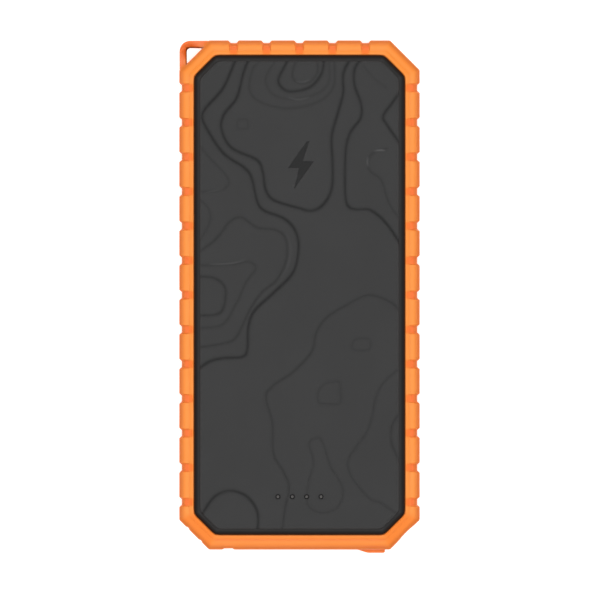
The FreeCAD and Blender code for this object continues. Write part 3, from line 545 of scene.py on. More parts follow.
def endTree(bench, shape, finish, output):
    whole = bench.node("GeometryNodeRealizeInstances", values={"Geometry": shape})
    painted = bench.node("GeometryNodeSetMaterial", values={"Geometry": whole, "Material": finish})
    bench.node("NodeGroupOutput", values={output: painted})


def notchTree():
    # Presses evenly spaced notches into the outer wall and both faces of a swept ring
    sizes = {word: "Float" for word in (*notchSizes, "Middle")}
    inputs = {"Ring": "Geometry", **sizes, "Finish": "Material"}
    tree, bench, given = newTree("notchedRing", inputs, "Ring")

    def stored(name, kind="FLOAT"):
        return bench.node("GeometryNodeInputNamedAttribute", {"data_type": kind}, {"Name": name})

    along, pitch, span, inset = (stored(name) for name in ("along", "pitch", "span", "inset"))
    step = pitch + 1e-9
    off = (along - (along / step).maths("ROUND") * step).maths("ABSOLUTE")
    inSpan = along.maths("ABSOLUTE").maths("LESS_THAN", span) * pitch.maths("GREATER_THAN", 1e-6)
    wall = inSpan * (1 - bench.ease(off, given.other("Floor"), given.other("Mouth")))
    reach = given.other("Reach")
    wallPush = wall * given.other("Depth") * (1 - bench.ease(inset, 0.0, reach))
    face = inSpan * (1 - bench.ease(off, given.other("Face Floor"), given.other("Face Mouth")))
    start, end = (reach + shift * mm for shift in bumper["faceFade"])
    fade = 1 - bench.ease(inset, start, end)
    facePush = face * given.other("Face Depth") * fade
    split = bench.node("ShaderNodeSeparateXYZ", values={0: bench.node("GeometryNodeInputPosition")})
    lift = split.other("Z") - given.other("Middle")
    nearFace = bench.ease(lift.maths("ABSOLUTE"), *(height * mm for height in bumper["faceLift"]))
    move = bench.node("ShaderNodeVectorMath", {"operation": "SCALE"},
                      {0: stored("outward", "FLOAT_VECTOR"), "Scale": wallPush * -1})
    drop = bench.node("ShaderNodeCombineXYZ", values={"Z": facePush * nearFace * lift.maths("SIGN") * -1})
    offset = bench.node("ShaderNodeVectorMath", {"operation": "ADD"}, {0: move, 1: drop})
    pressed = bench.node("GeometryNodeSetPosition", values={"Geometry": given, "Offset": offset})
    endTree(bench, pressed, given.other("Finish"), "Ring")
    return tree


def runTree(piece, tree, values):
    # Sets the tree's inputs by their identifiers, and leaves the piece with the plain mesh that comes out
    modifier = piece.modifiers.new("shape", "NODES")
    modifier.node_group = tree
    for item in tree.interface.items_tree:
        if item.in_out == "INPUT" and item.name in values:
            modifier[item.identifier] = values[item.name]
    return applyModifiers(piece)


def makeRing():
    half = ringProfile()
    section = half + [(inset, case["height"] - height) for inset, height in reversed(half[1:])]
    sides = sideTable()
    rows = [ringAt(inset, height, sides) for inset, height in section]
    ring = loft("bumperRing", [row[:, :3] for row in rows], closed=True)
    table = np.concatenate(rows)
    storeValues(ring, {name: table[:, column] * mm for name, column in
                       (("along", 3), ("pitch", 4), ("span", 5), ("inset", 6))})
    outward = np.column_stack([table[:, 7:9], np.zeros(len(table))]).astype(np.float32)
    ring.data.attributes.new("outward", "FLOAT_VECTOR", "POINT").data.foreach_set("vector", outward.ravel())
    settings = {name: bumper[key] * mm for name, key in notchSizes.items()}
    settings.update({"Middle": midHeight * mm, "Finish": finishes["rubber"]})
    return runTree(ring, notchTree(), settings)


def roundedPath(corners, radii, steps=7):
    # An open path through the corners, with a tangent arc at each inner one
    path = [np.array(corners[0], float)]
    for before, here, after, radius in zip(corners, corners[1:], corners[2:], radii):
        before, here, after = (np.array(p, float) for p in (before, here, after))
        one = (before - here) / np.linalg.norm(before - here)
        two = (after - here) / np.linalg.norm(after - here)
        half = acos(np.clip(np.dot(one, two), -1, 1)) / 2
        centre = here + (one + two) / np.linalg.norm(one + two) * radius / sin(half)
        start, end = (here + d * radius / tan(half) - centre for d in (one, two))
        for t in np.linspace(0, 1, steps):
            spoke = start * (1 - t) + end * t
            path.append(centre + spoke / np.linalg.norm(spoke) * radius)
    path.append(np.array(corners[-1], float))
    return np.array(path)


def evenly(path, shares):
    # Points at the given shares of an open path's length
    lengths = np.concatenate([[0], np.cumsum(np.linalg.norm(np.diff(path, axis=0), axis=1))])
    stops = np.array(shares) * lengths[-1]
    return np.column_stack([np.interp(stops, lengths, path[:, i]) for i in range(2)])


def makeLoop():
    # A bar between the square corner and a three-sided hole. Its ends swell to the corner's full height
    left, top, leg = -case["halfWidth"], case["halfLength"], case["cornerLeg"]
    bury, side, end = loop["buried"], left + loop["bar"], top - loop["bar"]
    corners = [(left + leg + 2 * bury, top - 0.12), (left, top), (left + 0.12, top - leg - 2 * bury)]
    outer = roundedPath(corners, [loop["cornerRound"]], 14)
    slant = leg - 2 * loop["bar"]
    tips = np.array([(side + slant, end), (side, end - slant)])
    inner = roundedPath([tips[0] + [1.6, -2.6], tips[0], (side, end), tips[1], tips[1] + [2.6, -1.6]],
                        [loop["tipRound"], loop["holeRound"], loop["tipRound"]], 8)
    shares = np.linspace(0, 1, 61)
    sections = []
    for a, b in zip(evenly(outer, shares), evenly(inner, shares)):
        width = np.linalg.norm(a - b)
        across, centre = (a - b) / width, (a + b) / 2
        clear = (centre[1] - centre[0] - (case["halfWidth"] + top - leg)) / sqrt(2)
        root = 1 - smooth(-0.6, loop["haunch"], clear)
        half = loop["half"] + (loop["rootHalf"] - loop["half"]) * root
        half -= loop["sink"] * smooth(0.8, 3.0, -clear)
        shape = roundedRectangle(width / 2, half, min(loop["edgeRound"] + 0.8 * root, width * 0.45), 6)
        sections.append(np.array([[*(centre + across * u), midHeight + v] for u, v in shape]))
    return loft("lanyardLoop", sections)


window = {"left": -27.4, "right": 30.5, "halfTall": 10.3, "round": 1.0, "lip": 0.45, "inner": 86.7}
buttonHole = {"y": -67.1, "halfWide": 3.5, "halfTall": 4.8, "round": 1.9, "lip": 0.4, "inner": 38.6}


def flaredLoops(cut, halfWide, face):
    # Rings (outline, out) of a cutter that opens out at the face, so that the cut keeps a rounded lip
    lip = cut["lip"]
    steps = [(cut["inner"], 0.0)]
    steps += [(face - lip * (1 - sin(a)), lip * (1 - cos(a))) for a in np.linspace(0, pi / 2, 6)]
    steps.append((face + 1.5, lip))
    return [(roundedRectangle(halfWide + grow, cut["halfTall"] + grow, cut["round"] + grow), out)
            for out, grow in steps]


def makeWindowCutter():
    middle, half = (window["left"] + window["right"]) / 2, (window["right"] - window["left"]) / 2
    rings = flaredLoops(window, half, case["halfLength"])
    return loft("windowCutter", [upright(ring, middle, -out) for ring, out in rings])


def makeButtonCutter():
    rings = flaredLoops(buttonHole, buttonHole["halfWide"], case["halfWidth"])
    return loft("buttonCutter", [np.array([[out, buttonHole["y"] + u, midHeight + v] for u, v in ring])
                                 for ring, out in rings])


def edgeGaps(x, y):
    # How far in from the nearest straight side, and from the nearest slanting one, a place is
    reach = case["halfWidth"] + case["halfLength"] - case["cornerLeg"]
    straight = np.minimum(case["halfWidth"] - abs(x), case["halfLength"] - abs(y))
    return straight, (reach - abs(x) - abs(y)) / sqrt(2)


# How strongly each part of the bumper takes painted light: the deeper orange of painted shade, the painted
# shade on its edges, and the crown's painted highlight on the inner rim
paintedLight = {
    "notch": 0.80, "notchFade": 0.14, "corner": 0.02, "portCorner": 0.28, "portEnd": 0.16, "portLine": 0.22,
    "aboveTab": 0.9, "loop": 0.78, "crownInner": 0.75, "edgeSide": 0.40, "edgeFace": 0.6, "notchEdge": 1.4,
    "hole": 1.8, "lip": 1.5,
}


def paintLightAndShade(piece):
    # Stores painted light at each point: the deeper orange of painted shade, edge (painted shade, darker,
    # and over 1 a near-black painted shadow) and the paler painted highlight on the crown
    x, y, z = readSpots(piece)
    straight, slant = edgeGaps(x, y)
    inset, lift = np.minimum(straight, slant), abs(z - midHeight)
    south = y < 0
    sideways = case["halfWidth"] - abs(x) < case["halfLength"] - abs(y)
    corner = smooth(-1.2, 1.0, straight - slant)
    deep = np.zeros(len(x))
    for along, here, pitch, number in ((y, sideways, bumper["sidePitch"], bumper["sideCount"]),
                                       (x, ~sideways & (y > 0), bumper["endPitch"], bumper["endCount"])):
        off = abs(along - np.round(along / pitch) * pitch)
        pressed = 1 - smooth(bumper["notchFloor"], bumper["faceMouth"] + 0.1, off)
        deep = np.maximum(deep, pressed * here * (abs(along) < pitch * number / 2))

    # The loop's corner, which takes painted shade, with painted shadow on the walls of its hole: across is
    # measured along its slanting side
    across = abs(x + y - case["halfLength"] + case["halfWidth"]) / sqrt(2)
    loopSide = (x < 0) * (y > 0)
    roots = smooth(-1.3, 0.9, -inset) * smooth(3.2, 4.6, across) * corner
    onLoop = np.maximum(smooth(0.1, 2.0, -inset), roots) * loopSide
    left, top = loop["bar"] - case["halfWidth"], case["halfLength"] - loop["bar"]
    hole = 1 - smooth(0.12, 0.5, np.maximum(left - x, y - top))
    hole = np.maximum(hole * (inset < -0.05), hole * smooth(3.3, 3.7, across) * (inset < 0.4)) * loopSide

    # Painted shade along the port end, a stronger line of it near the rim, and on the wall above the pull
    # tab
    portLine = np.exp(-((inset - 3.5) / 0.5) ** 2)
    portEnd = (~sideways & south) * (1 - corner) * (paintedLight["portEnd"] + paintedLight["portLine"] * portLine)
    aboveTab = smooth(19.5, 24.5, x) * (1 - smooth(29.5, 31.5, x)) * south

    # Painted shade as a deeper orange: in the notches, less towards the rim, at the corners, at the port
    # end, above the tab and on the loop
    notch = deep * (paintedLight["notch"] - paintedLight["notchFade"] * smooth(2.2, 3.8, inset))
    notch = notch * (1 - 0.5 * smooth(4.4, 5.0, inset))
    for other in (corner * (paintedLight["corner"] + paintedLight["portCorner"] * south), portEnd,
                  aboveTab * (1 - smooth(0.8, 1.8, inset)) * paintedLight["aboveTab"], paintedLight["loop"] * onLoop):
        notch = np.maximum(notch, other)
    # Painted highlight: paler along the crown and the inner rim, less at the corners and none in the
    # notches
    crownHighlight = np.exp(-((inset - 2.7) / 0.9) ** 2) + paintedLight["crownInner"] * smooth(3.9, 4.4, inset)
    crownHighlight = crownHighlight * (1 - corner * (0.4 + 0.5 * south)) * (1 - deep)
    # Painted shade, darker on the outer shoulder and more on the faces, on the notches' flanks and at the
    # tab's root, less on the loop; over 1 it is near-black painted shadow on the hole's walls and the inner
    # lip's top
    edge = 1 - smooth(0.4, 2.3, inset - 0.7 * deep)
    edge = edge * (paintedLight["edgeSide"] + paintedLight["edgeFace"] * smooth(9.5, 12.0, lift))
    notchEdge = paintedLight["notchEdge"] * deep * (1 - deep) * smooth(0.6, 1.6, inset)
    edge = np.maximum(edge, notchEdge * (1 - smooth(3.6, 4.6, inset)))
    edge = np.maximum(edge, aboveTab * (1 - smooth(0.3, 1.2, inset)))
    edge = edge * (1 - 0.85 * onLoop)
    lip = smooth(5.0, 5.3, inset) * (inset < 5.6) * (z > midHeight)
    edge = np.maximum(edge, np.maximum(hole * paintedLight["hole"], lip * paintedLight["lip"]))
    storeValues(piece, {"notch": notch, "edge": edge, "crownHighlight": crownHighlight})


def makeBumper():
    ring = makeRing()
    carve(ring, [makeLoop()], "UNION")
    carve(ring, [makeWindowCutter(), makeButtonCutter()], "DIFFERENCE")
    ring.name = "bumperShell"
    for name in ("along", "pitch", "span", "inset", "outward"):
        if name in ring.data.attributes:
            ring.data.attributes.remove(ring.data.attributes[name])
    setFinish(ring, "rubber")
    paintLightAndShade(ring)
    softenShading(ring, 40)
    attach(ring, "housing")
    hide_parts("bumper")
    print("bumper made:", len(ring.data.polygons), "faces")


makeBumper()


# Port flap: a rounded door with a hollow plug behind it and a ribbed pull tab

flap = {
    "left": -22.9, "right": 30.2, "halfTall": 10.0, "face": -89.85, "thickness": 2.8, "round": 1.3,
    "edge": 0.7, "fieldMargin": 2.2, "fieldDepth": 0.22,
    "tabRampLeft": 20.0, "tabRampRight": 24.4, "tabRight": 30.2, "tabProud": 1.38, "tabHalf": 6.5,
    "tabEdge": 0.9, "gripPitch": 2.0, "gripCount": 5, "gripHalf": 0.42, "gripDepth": 0.3,
    "plugLeft": -21.3, "plugRight": 25.3, "plugHalf": 5.2, "plugEnd": -85.6, "plugWall": 1.2,
    "plugRound": 1.7,
}


def steppedRings(left, right, halfTall, steps, rounding):
    # Rounded outlines at each place along Y, shrunk by each step. rounding gives the corner radius
    middle, half = (left + right) / 2, (right - left) / 2
    return [upright(roundedRectangle(half - shrink, halfTall - shrink, rounding(shrink)), middle, y)
            for y, shrink in steps]


def makeDoor():
    edge, face, back = flap["edge"], flap["face"], flap["face"] + flap["thickness"]
    margin, deep = flap["fieldMargin"], flap["fieldDepth"]
    steps = [(back, 0.25), (back - 0.12, 0.07), (back - 0.3, 0.0)]
    steps += [(face + edge * (1 - sin(a)), edge * (1 - cos(a))) for a in np.linspace(0, pi / 2, 7)]
    steps += [(face, margin), (face + deep * 0.3, margin + 0.16), (face + deep, margin + 0.36),
              (face + deep, margin + 0.9)]
    return loft("portFlap", steppedRings(flap["left"], flap["right"], flap["halfTall"], steps,
                                         lambda shrink: max(flap["round"] - shrink * 0.5, 0.4)))


def makeTab():
    # Sections across the tab's height, with round grooves along it that run out before its ends
    left, ramp, right = flap["tabRampLeft"], flap["tabRampRight"], flap["tabRight"]
    nose, tall, edge = 0.6, flap["tabHalf"], flap["tabEdge"]
    x = np.concatenate([np.linspace(left, ramp + 1, 16), np.linspace(ramp + 1, right - nose, 16)[1:],
                        right - nose + nose * np.sin(np.linspace(0, pi / 2, 8))[1:]])
    curl = np.clip((x - right + nose) / nose, 0, 1)
    rise = smooth(left - 1.0, ramp + 0.5, x) * flap["tabProud"] - 0.5 * (1 - np.sqrt(1 - curl ** 2))
    ribbed = smooth(ramp - 0.4, ramp + 0.5, x) * (1 - smooth(right - 1.5, right - 0.8, x))
    bend = edge * (1 - np.cos(np.linspace(0, pi / 2, 7)))
    flat = np.linspace(-tall + edge, tall - edge, 81)
    heights = np.concatenate([bend - tall, flat[1:-1], tall - bend[::-1]])
    rib = np.arange(flap["gripCount"]) - (flap["gripCount"] - 1) / 2
    sections = []
    for z in heights:
        depth = np.clip((abs(z) - tall + edge) / edge, 0, 1)
        share = sqrt(1 - depth ** 2)
        gap = abs(z - rib * flap["gripPitch"]).min()
        here = rise - ribbed * flap["gripDepth"] * (1 - smooth(0.0, flap["gripHalf"], gap))
        outline = [(a, flap["face"] + 0.3 - (h + 0.3) * (0.2 + 0.8 * share)) for a, h in zip(x, here)]
        outline += [(x[-1], flap["face"] + 0.6), (x[0], flap["face"] + 0.6)]
        sections.append(np.array([[a, y, midHeight + z] for a, y in outline]))
    return loft("pullTab", sections)


def makePlug():
    root, end, wall = flap["face"] + flap["thickness"] - 0.5, flap["plugEnd"], flap["plugWall"]
    steps = [(root, 0.0), (end - 0.35, 0.0), (end - 0.12, 0.08), (end, 0.32), (end, wall - 0.32),
             (end - 0.12, wall - 0.08), (end - 0.35, wall), (root + 0.3, wall)]
    return loft("flapPlug", steppedRings(flap["plugLeft"], flap["plugRight"], flap["plugHalf"], steps,
                                         lambda shrink: max(flap["plugRound"] - shrink, 0.4)))


def makeFlap():
    door = makeDoor()
    carve(door, [makeTab(), makePlug()], "UNION")
    setFinish(door, "flapRubber")
    # The pull tab takes a little painted shade where it grows out of the door
    proud = (flap["face"] - readSpots(door)[1]) / flap["tabProud"]
    storeValues(door, {"edge": 0.8 * smooth(0.02, 0.2, proud) * (1 - smooth(0.30, 0.75, proud))})
    softenShading(door, 35)
    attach(door, "flap")
    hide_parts("port_flap")
    print("flap made:", len(door.data.polygons), "faces")


hinge = {"left": -27.65, "right": -22.6, "outer": -89.55, "thick": 0.9, "half": 9.6, "waist": 0.17,
         "round": 0.25}


def makeHingeWeb():
    # A thin strip, thinnest half way
    left, right, outer, middle = hinge["left"], hinge["right"], hinge["outer"], hinge["thick"] / 2
    rings = []
    for t in np.linspace(0, 1, 33):
        x = left + (right - left) * t
        thin = middle - hinge["waist"] * sin(pi * t) ** 2
        shape = roundedRectangle(thin, hinge["half"], hinge["round"], 3)
        rings.append(np.array([[x, outer + middle + u, midHeight + v] for u, v in shape]))
    web = loft("hingeWeb", rings)
    setFinish(web, "rubber")
    softenShading(web, 50)
    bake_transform(web)
    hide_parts("flap_hinge_web")


makeFlap()
makeHingeWeb()


# Front panel: a plate with contour lines pressed into it, a bolt mark and four light windows

relief = {
    "top": 26.2, "base": 24.9, "corner": 3.0, "rowStep": 0.75, "gridStep": 1.6, "gleamWidth": 0.32,
    "brim": ((0.0, 0.22), (0.04, 0.12), (0.1, 0.05), (0.3, 0.0)), "brimShade": 0.18, "gap": 0.11,
    "clear": 0.62,
    "rows": (0.0, 0.14, 0.28, 0.42, 0.58, 0.8, 1.2, 1.8, 2.8), "ledgeReach": 3.2,
    "windowPitch": 5.08, "windowY": -71.3, "windowHole": 0.5, "windowMouth": 0.85, "windowDepth": 0.5,
}

# Contour lines: depth and ledge height, then the points that each smooth line passes, from end to end
contours = {
    "westRidge": (0.30, 0.16, [(-22.3, 84), (-24.6, 78.3), (-27.5, 72.4), (-33, 66.3), (-34.3, 63),
        (-32.8, 58.9), (-26.9, 50.1), (-19.3, 44.8), (-16.8, 41), (-15.1, 33.6), (-12.8, 30), (-5.7, 27.1),
        (-1.8, 23.2), (-0.3, 17.1), (-2.2, 8.2), (-8.7, 1.2), (-15.7, -5.3), (-18, -11), (-18.4, -18.9),
        (-20.2, -21.8), (-26.9, -22.3), (-31.5, -23.4), (-36.5, -26.4)]),
    "plateauWest": (0.30, 0.16, [(-17.8, 84), (-19.9, 78.3), (-22.2, 69.8), (-26.8, 63.6), (-27.5, 58.3),
        (-24, 52), (-15.1, 47.7), (-13, 43.5), (-11.9, 37.1), (-9, 33.5), (-1, 30.9), (4.4, 29.8),
        (8.6, 32.2), (11.4, 37.7), (11.7, 46.5), (11.4, 56), (13.7, 64.8), (15.4, 71.5), (15.5, 78.3),
        (18.2, 84)]),
    "plateauEast": (0.28, -0.14, [(22.2, 84), (19.6, 80.1), (19.4, 74.5), (21.7, 67.7), (21.6, 62.6),
        (17.8, 57.1), (16.3, 50.5), (16.1, 37.7), (16.8, 32.2), (19.3, 30.3), (24.4, 30.2), (28.4, 27.7),
        (32, 23.6), (36.2, 17.3)]),
    "northBay": (0.26, 0.12, [(-3.6, 84), (-5.7, 80.1), (-7.5, 75.6), (-5.1, 72.4), (-1, 72), (4.2, 73.8),
        (7.8, 78.3), (8.8, 84)]),
    "northBayOuter": (0.10, 0.06, [(-13, 84), (-16.6, 79.5), (-17.6, 72.5), (-14, 68.3), (-5.5, 66),
        (2.5, 66.9), (8.8, 69.6), (12.3, 74.8), (12.2, 84)]),
    "northBayMiddle": (0.08, 0.05, [(-7.6, 84), (-11.8, 77), (-9.8, 71.3), (-3, 69.2), (4.6, 70.5),
        (10.2, 74.8), (10.4, 84)]),
    "northeastFold": (0.06, 0.05, [(22.6, 81), (26.2, 76.8), (30.6, 73.2)]),
    "northPit": (0.12, 0.08, [(-1, 84), (-2.5, 77.7), (-0.4, 75.1), (3.7, 75.4), (6.4, 78.9), (6.1, 84)]),
    "eastChevron": (0.26, 0.14, [(36.2, 72.6), (32.6, 67.7), (29.6, 63.2), (31, 60), (36.2, 52.6)]),
    "eastPocket": (0.11, 0.07, [(30.5, 51.6), (26.7, 50.8), (24, 47.2), (25.2, 43.6), (29, 40.4),
        (32, 31.8), (36.2, 26)]),
    "westFold": (0.10, 0.07, [(-36.2, 54), (-31.6, 48.3), (-26, 42.4), (-25.1, 39), (-28.7, 36.8),
        (-36.2, 36.5)]),
    "westNick": (0.10, 0.06, [(-36.2, 34.6), (-32.2, 30.6), (-31.7, 25.6), (-36.2, 17.5)]),
    "midwestRidge": (0.15, 0.10, [(-36.2, 14.8), (-29.9, 19.4), (-24.5, 26), (-20.4, 27.4), (-15, 23.9),
        (-8.7, 23), (-5, 20.2), (-4.5, 13), (-7.8, 5.6), (-13.4, 0.8), (-17.6, -5.4), (-22.2, -14.7),
        (-27, -17.2), (-36.2, -18.6)]),
    "midwestInner": (0.12, 0.08, [(-36.2, 10.4), (-25, 10.8), (-18.1, 11.8), (-15.4, 9.4), (-18.7, 4.7),
        (-22.5, -3.4), (-27.5, -10.6), (-36.2, -11.8)]),
    "westKnoll": (0.20, 0.13, [(-36.2, 6.5), (-29.9, 5.9), (-26.2, 2.2), (-26.9, -4.7), (-30, -7),
        (-36.2, -7.2)]),
    "southRidge": (0.15, -0.10, [(36.2, -6.2), (32, -2.4), (24.6, 0), (16.7, -3.5), (9.4, -8.2),
        (5.8, -13.6), (4.3, -20), (-2.2, -27.1), (-9.8, -32.4), (-11.9, -36.5), (-9.7, -45), (-9.2, -56),
        (-5.7, -62.4), (-3.7, -68), (-5.1, -75.4), (-6.2, -84)]),
    "southSlope": (0.11, 0.07, [(36.2, -25.6), (31, -29.6), (27.3, -35.4), (24.9, -46), (20.8, -52.8),
        (17.2, -58.6), (18.7, -64.8), (24.9, -71.9), (29, -73.6), (36.2, -78.6)]),
    "southeastNick": (0.16, 0.10, [(36.2, -40.6), (32.9, -46), (32.6, -52.4), (36.2, -60.5)]),
    "southDome": (0.27, 0.15, [(-36.2, -81), (-33.7, -76.3), (-29.5, -70.9), (-24, -69.2), (-18.4, -71.4),
        (-14.9, -76.8), (-14.8, -84)]),
}
# Painted highlights along some steps: strength, then the points that each line passes
gleams = {
    "midwestShelf": (0.34, [(-32, 10.9), (-26, 11.0), (-22, 11.6), (-18.6, 12.6)]),
    "northBayStep": (0.34, [(-4.4, 69.9), (-0.5, 69.1), (3.8, 69.9)]),
    "northPitStep": (0.32, [(-1.6, 75.6), (1.2, 75.2), (3.8, 76.2)]),
    "eastPocketStep": (0.75, [(26.4, 51.0), (28.4, 51.2), (30.4, 51.1)]),
    "eastPocketSide": (0.50, [(24.2, 48.9), (23.9, 47.1), (24.2, 45.4)]),
    "westFoldStep": (0.18, [(-33.5, 36.3), (-29.5, 36.9), (-26.5, 37.8)]),
    "midwestLip": (0.16, [(-5.2, 22.4), (-3.6, 19), (-3.3, 14.6), (-4.4, 9.8), (-7, 5.4)]),
}
closedContours = {
    "smallKnoll": (0.07, 0.06, [(-22.0, 58.9), (-22.0, 60.4), (-21.7, 61.9), (-20.0, 62.1), (-18.5, 61.9),
        (-18.1, 60.4), (-18.2, 58.9), (-20.0, 58.6)]),
    "teardrop": (0.10, 0.06, [(6.1, -50.4), (3.4, -52.6), (5, -59), (3.2, -66.6), (3.1, -74.2), (8, -76.8),
        (13.8, -74.6), (15.2, -68.3), (10.8, -60.1), (8.1, -51.8)]),
    "halfMoon": (0.09, 0.08, [(18.4, -18.5), (19.2, -16.2), (21.5, -15.3), (24.4, -15.6), (25.2, -17.4),
        (24.6, -19.3), (21.8, -19.6), (19.4, -19.4)]),
    "stepStone": (0.09, 0.08, [(6.4, -36.4), (6.9, -33.6), (8.8, -31.4), (11.8, -30.6), (14.3, -30.9),
        (14.6, -34.6), (14.3, -38.1), (10.6, -38.5), (7.2, -38.3)]),
}
boltMark = {"centre": (0.4, 45.8), "depth": 0.30, "shade": 0.85, "outline": [
    (2.2, 8.6), (-4.6, -1.0), (-0.7, -1.0), (-2.4, -8.6), (4.8, 1.6), (0.8, 1.6), (3.2, 8.6)]}


def splinePoints(points, step, closed=False):
    # A Catmull-Rom curve through the points, walked in even steps
    spots = np.array(points, float)
    if closed:
        spots = np.vstack([spots[-1], spots, spots[0], spots[1]])
    else:
        spots = np.vstack([2 * spots[0] - spots[1], spots, 2 * spots[-1] - spots[-2]])
    path = []
    for a, b, c, d in zip(spots, spots[1:], spots[2:], spots[3:]):
        for t in np.linspace(0, 1, 24, endpoint=False):
            path.append(0.5 * (2 * b + (c - a) * t + (2 * a - 5 * b + 4 * c - d) * t ** 2
                               + (3 * b - a - 3 * c + d) * t ** 3))
    path.append(spots[-2])
    path = np.array(path)
    length = np.linalg.norm(np.diff(path, axis=0), axis=1).sum()
    return evenly(path, np.linspace(0, 1, max(int(length / step), 8) + 1))


def sideNormals(path, closed=False):
    run = np.gradient(path, axis=0)
    if closed:
        run[0] = run[-1] = path[1] - path[-2]
    return np.column_stack([-run[:, 1], run[:, 0]]) / np.linalg.norm(run, axis=1)[:, None]


def panelInset(spots):
    # How far in from the panel's edge each point is
    return np.minimum(*edgeGaps(*spots.T)) - case["panelInset"]


def outlineRow(inset, step=1.1):
    # The panel's edge, moved in, with its round corners
    reach = case["panelInset"] + inset
    halfX, halfY = case["halfWidth"] - reach, case["halfLength"] - reach
    leg = case["cornerLeg"] - reach * (2 - sqrt(2))
    quarter = [(halfX, halfY - leg), (halfX - leg, halfY)]
    corners = quarter + [(-x, y) for x, y in reversed(quarter)]
    corners += [(-x, -y) for x, y in corners]
    radius = max(relief["corner"] - inset, 0.5)
    start = (halfX, 0.0)
    path = roundedPath([start] + corners + [start], [radius] * 8)
    count = int(2 * (halfX + halfY) * 2 / step)
    return evenly(path, np.arange(count) / count)


def nearestOnPath(spots, path):
    # Signed distance to a path (left of it is positive) and the share of its length at the nearest point
    best, sign, share = np.full(len(spots), 1e9), np.zeros(len(spots)), np.zeros(len(spots))
    low, high = path.min(0) - 9, path.max(0) + 9
    near = np.where(np.all((spots > low) & (spots < high), axis=1))[0]
    here = spots[near]
    for i, (a, b) in enumerate(zip(path, path[1:])):
        edge = b - a
        t = np.clip((here - a) @ edge / (edge @ edge), 0, 1)
        gap = here - a - t[:, None] * edge
        distance = np.hypot(gap[:, 0], gap[:, 1])
        closer = distance < best[near]
        picked = near[closer]
        best[picked] = distance[closer]
        sign[picked] = np.sign(edge[0] * gap[closer, 1] - edge[1] * gap[closer, 0])
        share[picked] = (i + t[closer]) / (len(path) - 1)
    return best, sign, share


def insideOutline(spots, outline):
    x, y = spots[:, 0], spots[:, 1]
    inside = np.zeros(len(spots), bool)
    for (ax, ay), (bx, by) in zip(outline, np.roll(outline, -1, axis=0)):
        if ay != by:
            crosses = ((ay > y) != (by > y)) & (x < (bx - ax) * (y - ay) / (by - ay) + ax)
            inside ^= crosses
    return inside


def reliefHeights(spots, lines, mark, windows):
    # Height over the flat plate, the painted shade in grooves, window mouths and along the edge together
    # with the bolt mark's dark print, and the painted highlight along some steps
    height, shadeAndPrint, gleam = np.zeros((3, len(spots)))
    for path, depth, ledge in lines:
        distance, sign, _ = nearestOnPath(spots, path)
        wide = 0.36 + 0.5 * depth
        step = np.tanh(distance * sign / 0.3) * np.exp(-distance / relief["ledgeReach"])
        height += ledge * step * 0.5 - depth * np.exp(-(distance / wide) ** 2)
        # Painted shade in the groove
        shadeAndPrint = np.maximum(shadeAndPrint, np.exp(-(distance / (wide + 0.17)) ** 2) * min(depth * 3.5, 1))
    # Painted highlight along some steps
    for strength, points in gleams.values():
        distance, _, share = nearestOnPath(spots, splinePoints(points, 0.5))
        glow = np.exp(-(distance / relief["gleamWidth"]) ** 2) * np.sin(pi * share) ** 0.5
        gleam = np.maximum(gleam, strength * glow)
    if mark is not None:
        distance = nearestOnPath(spots, np.vstack([mark, mark[:1]]))[0]
        deep = np.where(insideOutline(spots, mark), smooth(-0.02, 0.24, distance), 0)
        height -= boltMark["depth"] * deep
        # The bolt mark's dark print
        shadeAndPrint = np.maximum(shadeAndPrint, deep * boltMark["shade"])
    shadeAndPrint = np.maximum(shadeAndPrint, relief["brimShade"] * (1 - smooth(0.0, 1.0, panelInset(spots))))
    hole, mouth = relief["windowHole"], relief["windowMouth"]
    for centre in windows:
        distance = np.hypot(*(spots - centre).T)
        height -= relief["windowDepth"] * (1 - np.clip((distance - hole) / (mouth - hole), 0, 1))
        # Painted shade in the window's mouth
        shadeAndPrint = np.maximum(shadeAndPrint, 1 - smooth(mouth - 0.1, mouth + 0.35, distance))
    return height, shadeAndPrint, gleam


def pointsInside(lines, mark, holes):
    # Rows beside every line and the mark, and a staggered grid, without points that nearly coincide
    inner = []
    for path, _, _ in lines:
        normals = sideNormals(path)
        for row in relief["rows"]:
            inner += [path + normals * row] if row == 0 else [path + normals * row, path - normals * row]
    if mark is not None:
        outline = evenly(np.vstack([mark, mark[:1]]), np.linspace(0, 1, 90))[:-1]
        normals = sideNormals(np.vstack([outline, outline[:1]]), True)[:-1]
        inner += [mark.mean(0) + (outline - mark.mean(0)) * grow for grow in (0.985, 1.0, 1.03)]
        inner += [outline + normals * back for back in (0.1, 0.2, 0.3)]
    step = relief["gridStep"]
    gridX, gridY = np.meshgrid(np.arange(-36, 36, step), np.arange(-84, 84, step))
    stagger = np.arange(len(gridX)) % 2 * step / 2
    inner.append(np.column_stack([(gridX + stagger[:, None]).ravel(), gridY.ravel()]))
    inner = np.vstack(inner)
    keep = panelInset(inner) > relief["clear"]
    for centre, radius, rows in holes:
        keep &= np.hypot(*(inner - np.array(centre)).T) > radius + rows[-1] + 0.12
    inner = inner[keep]
    _, first = np.unique(np.round(inner / relief["gap"]).astype(int), axis=0, return_index=True)
    return inner[np.sort(first)]


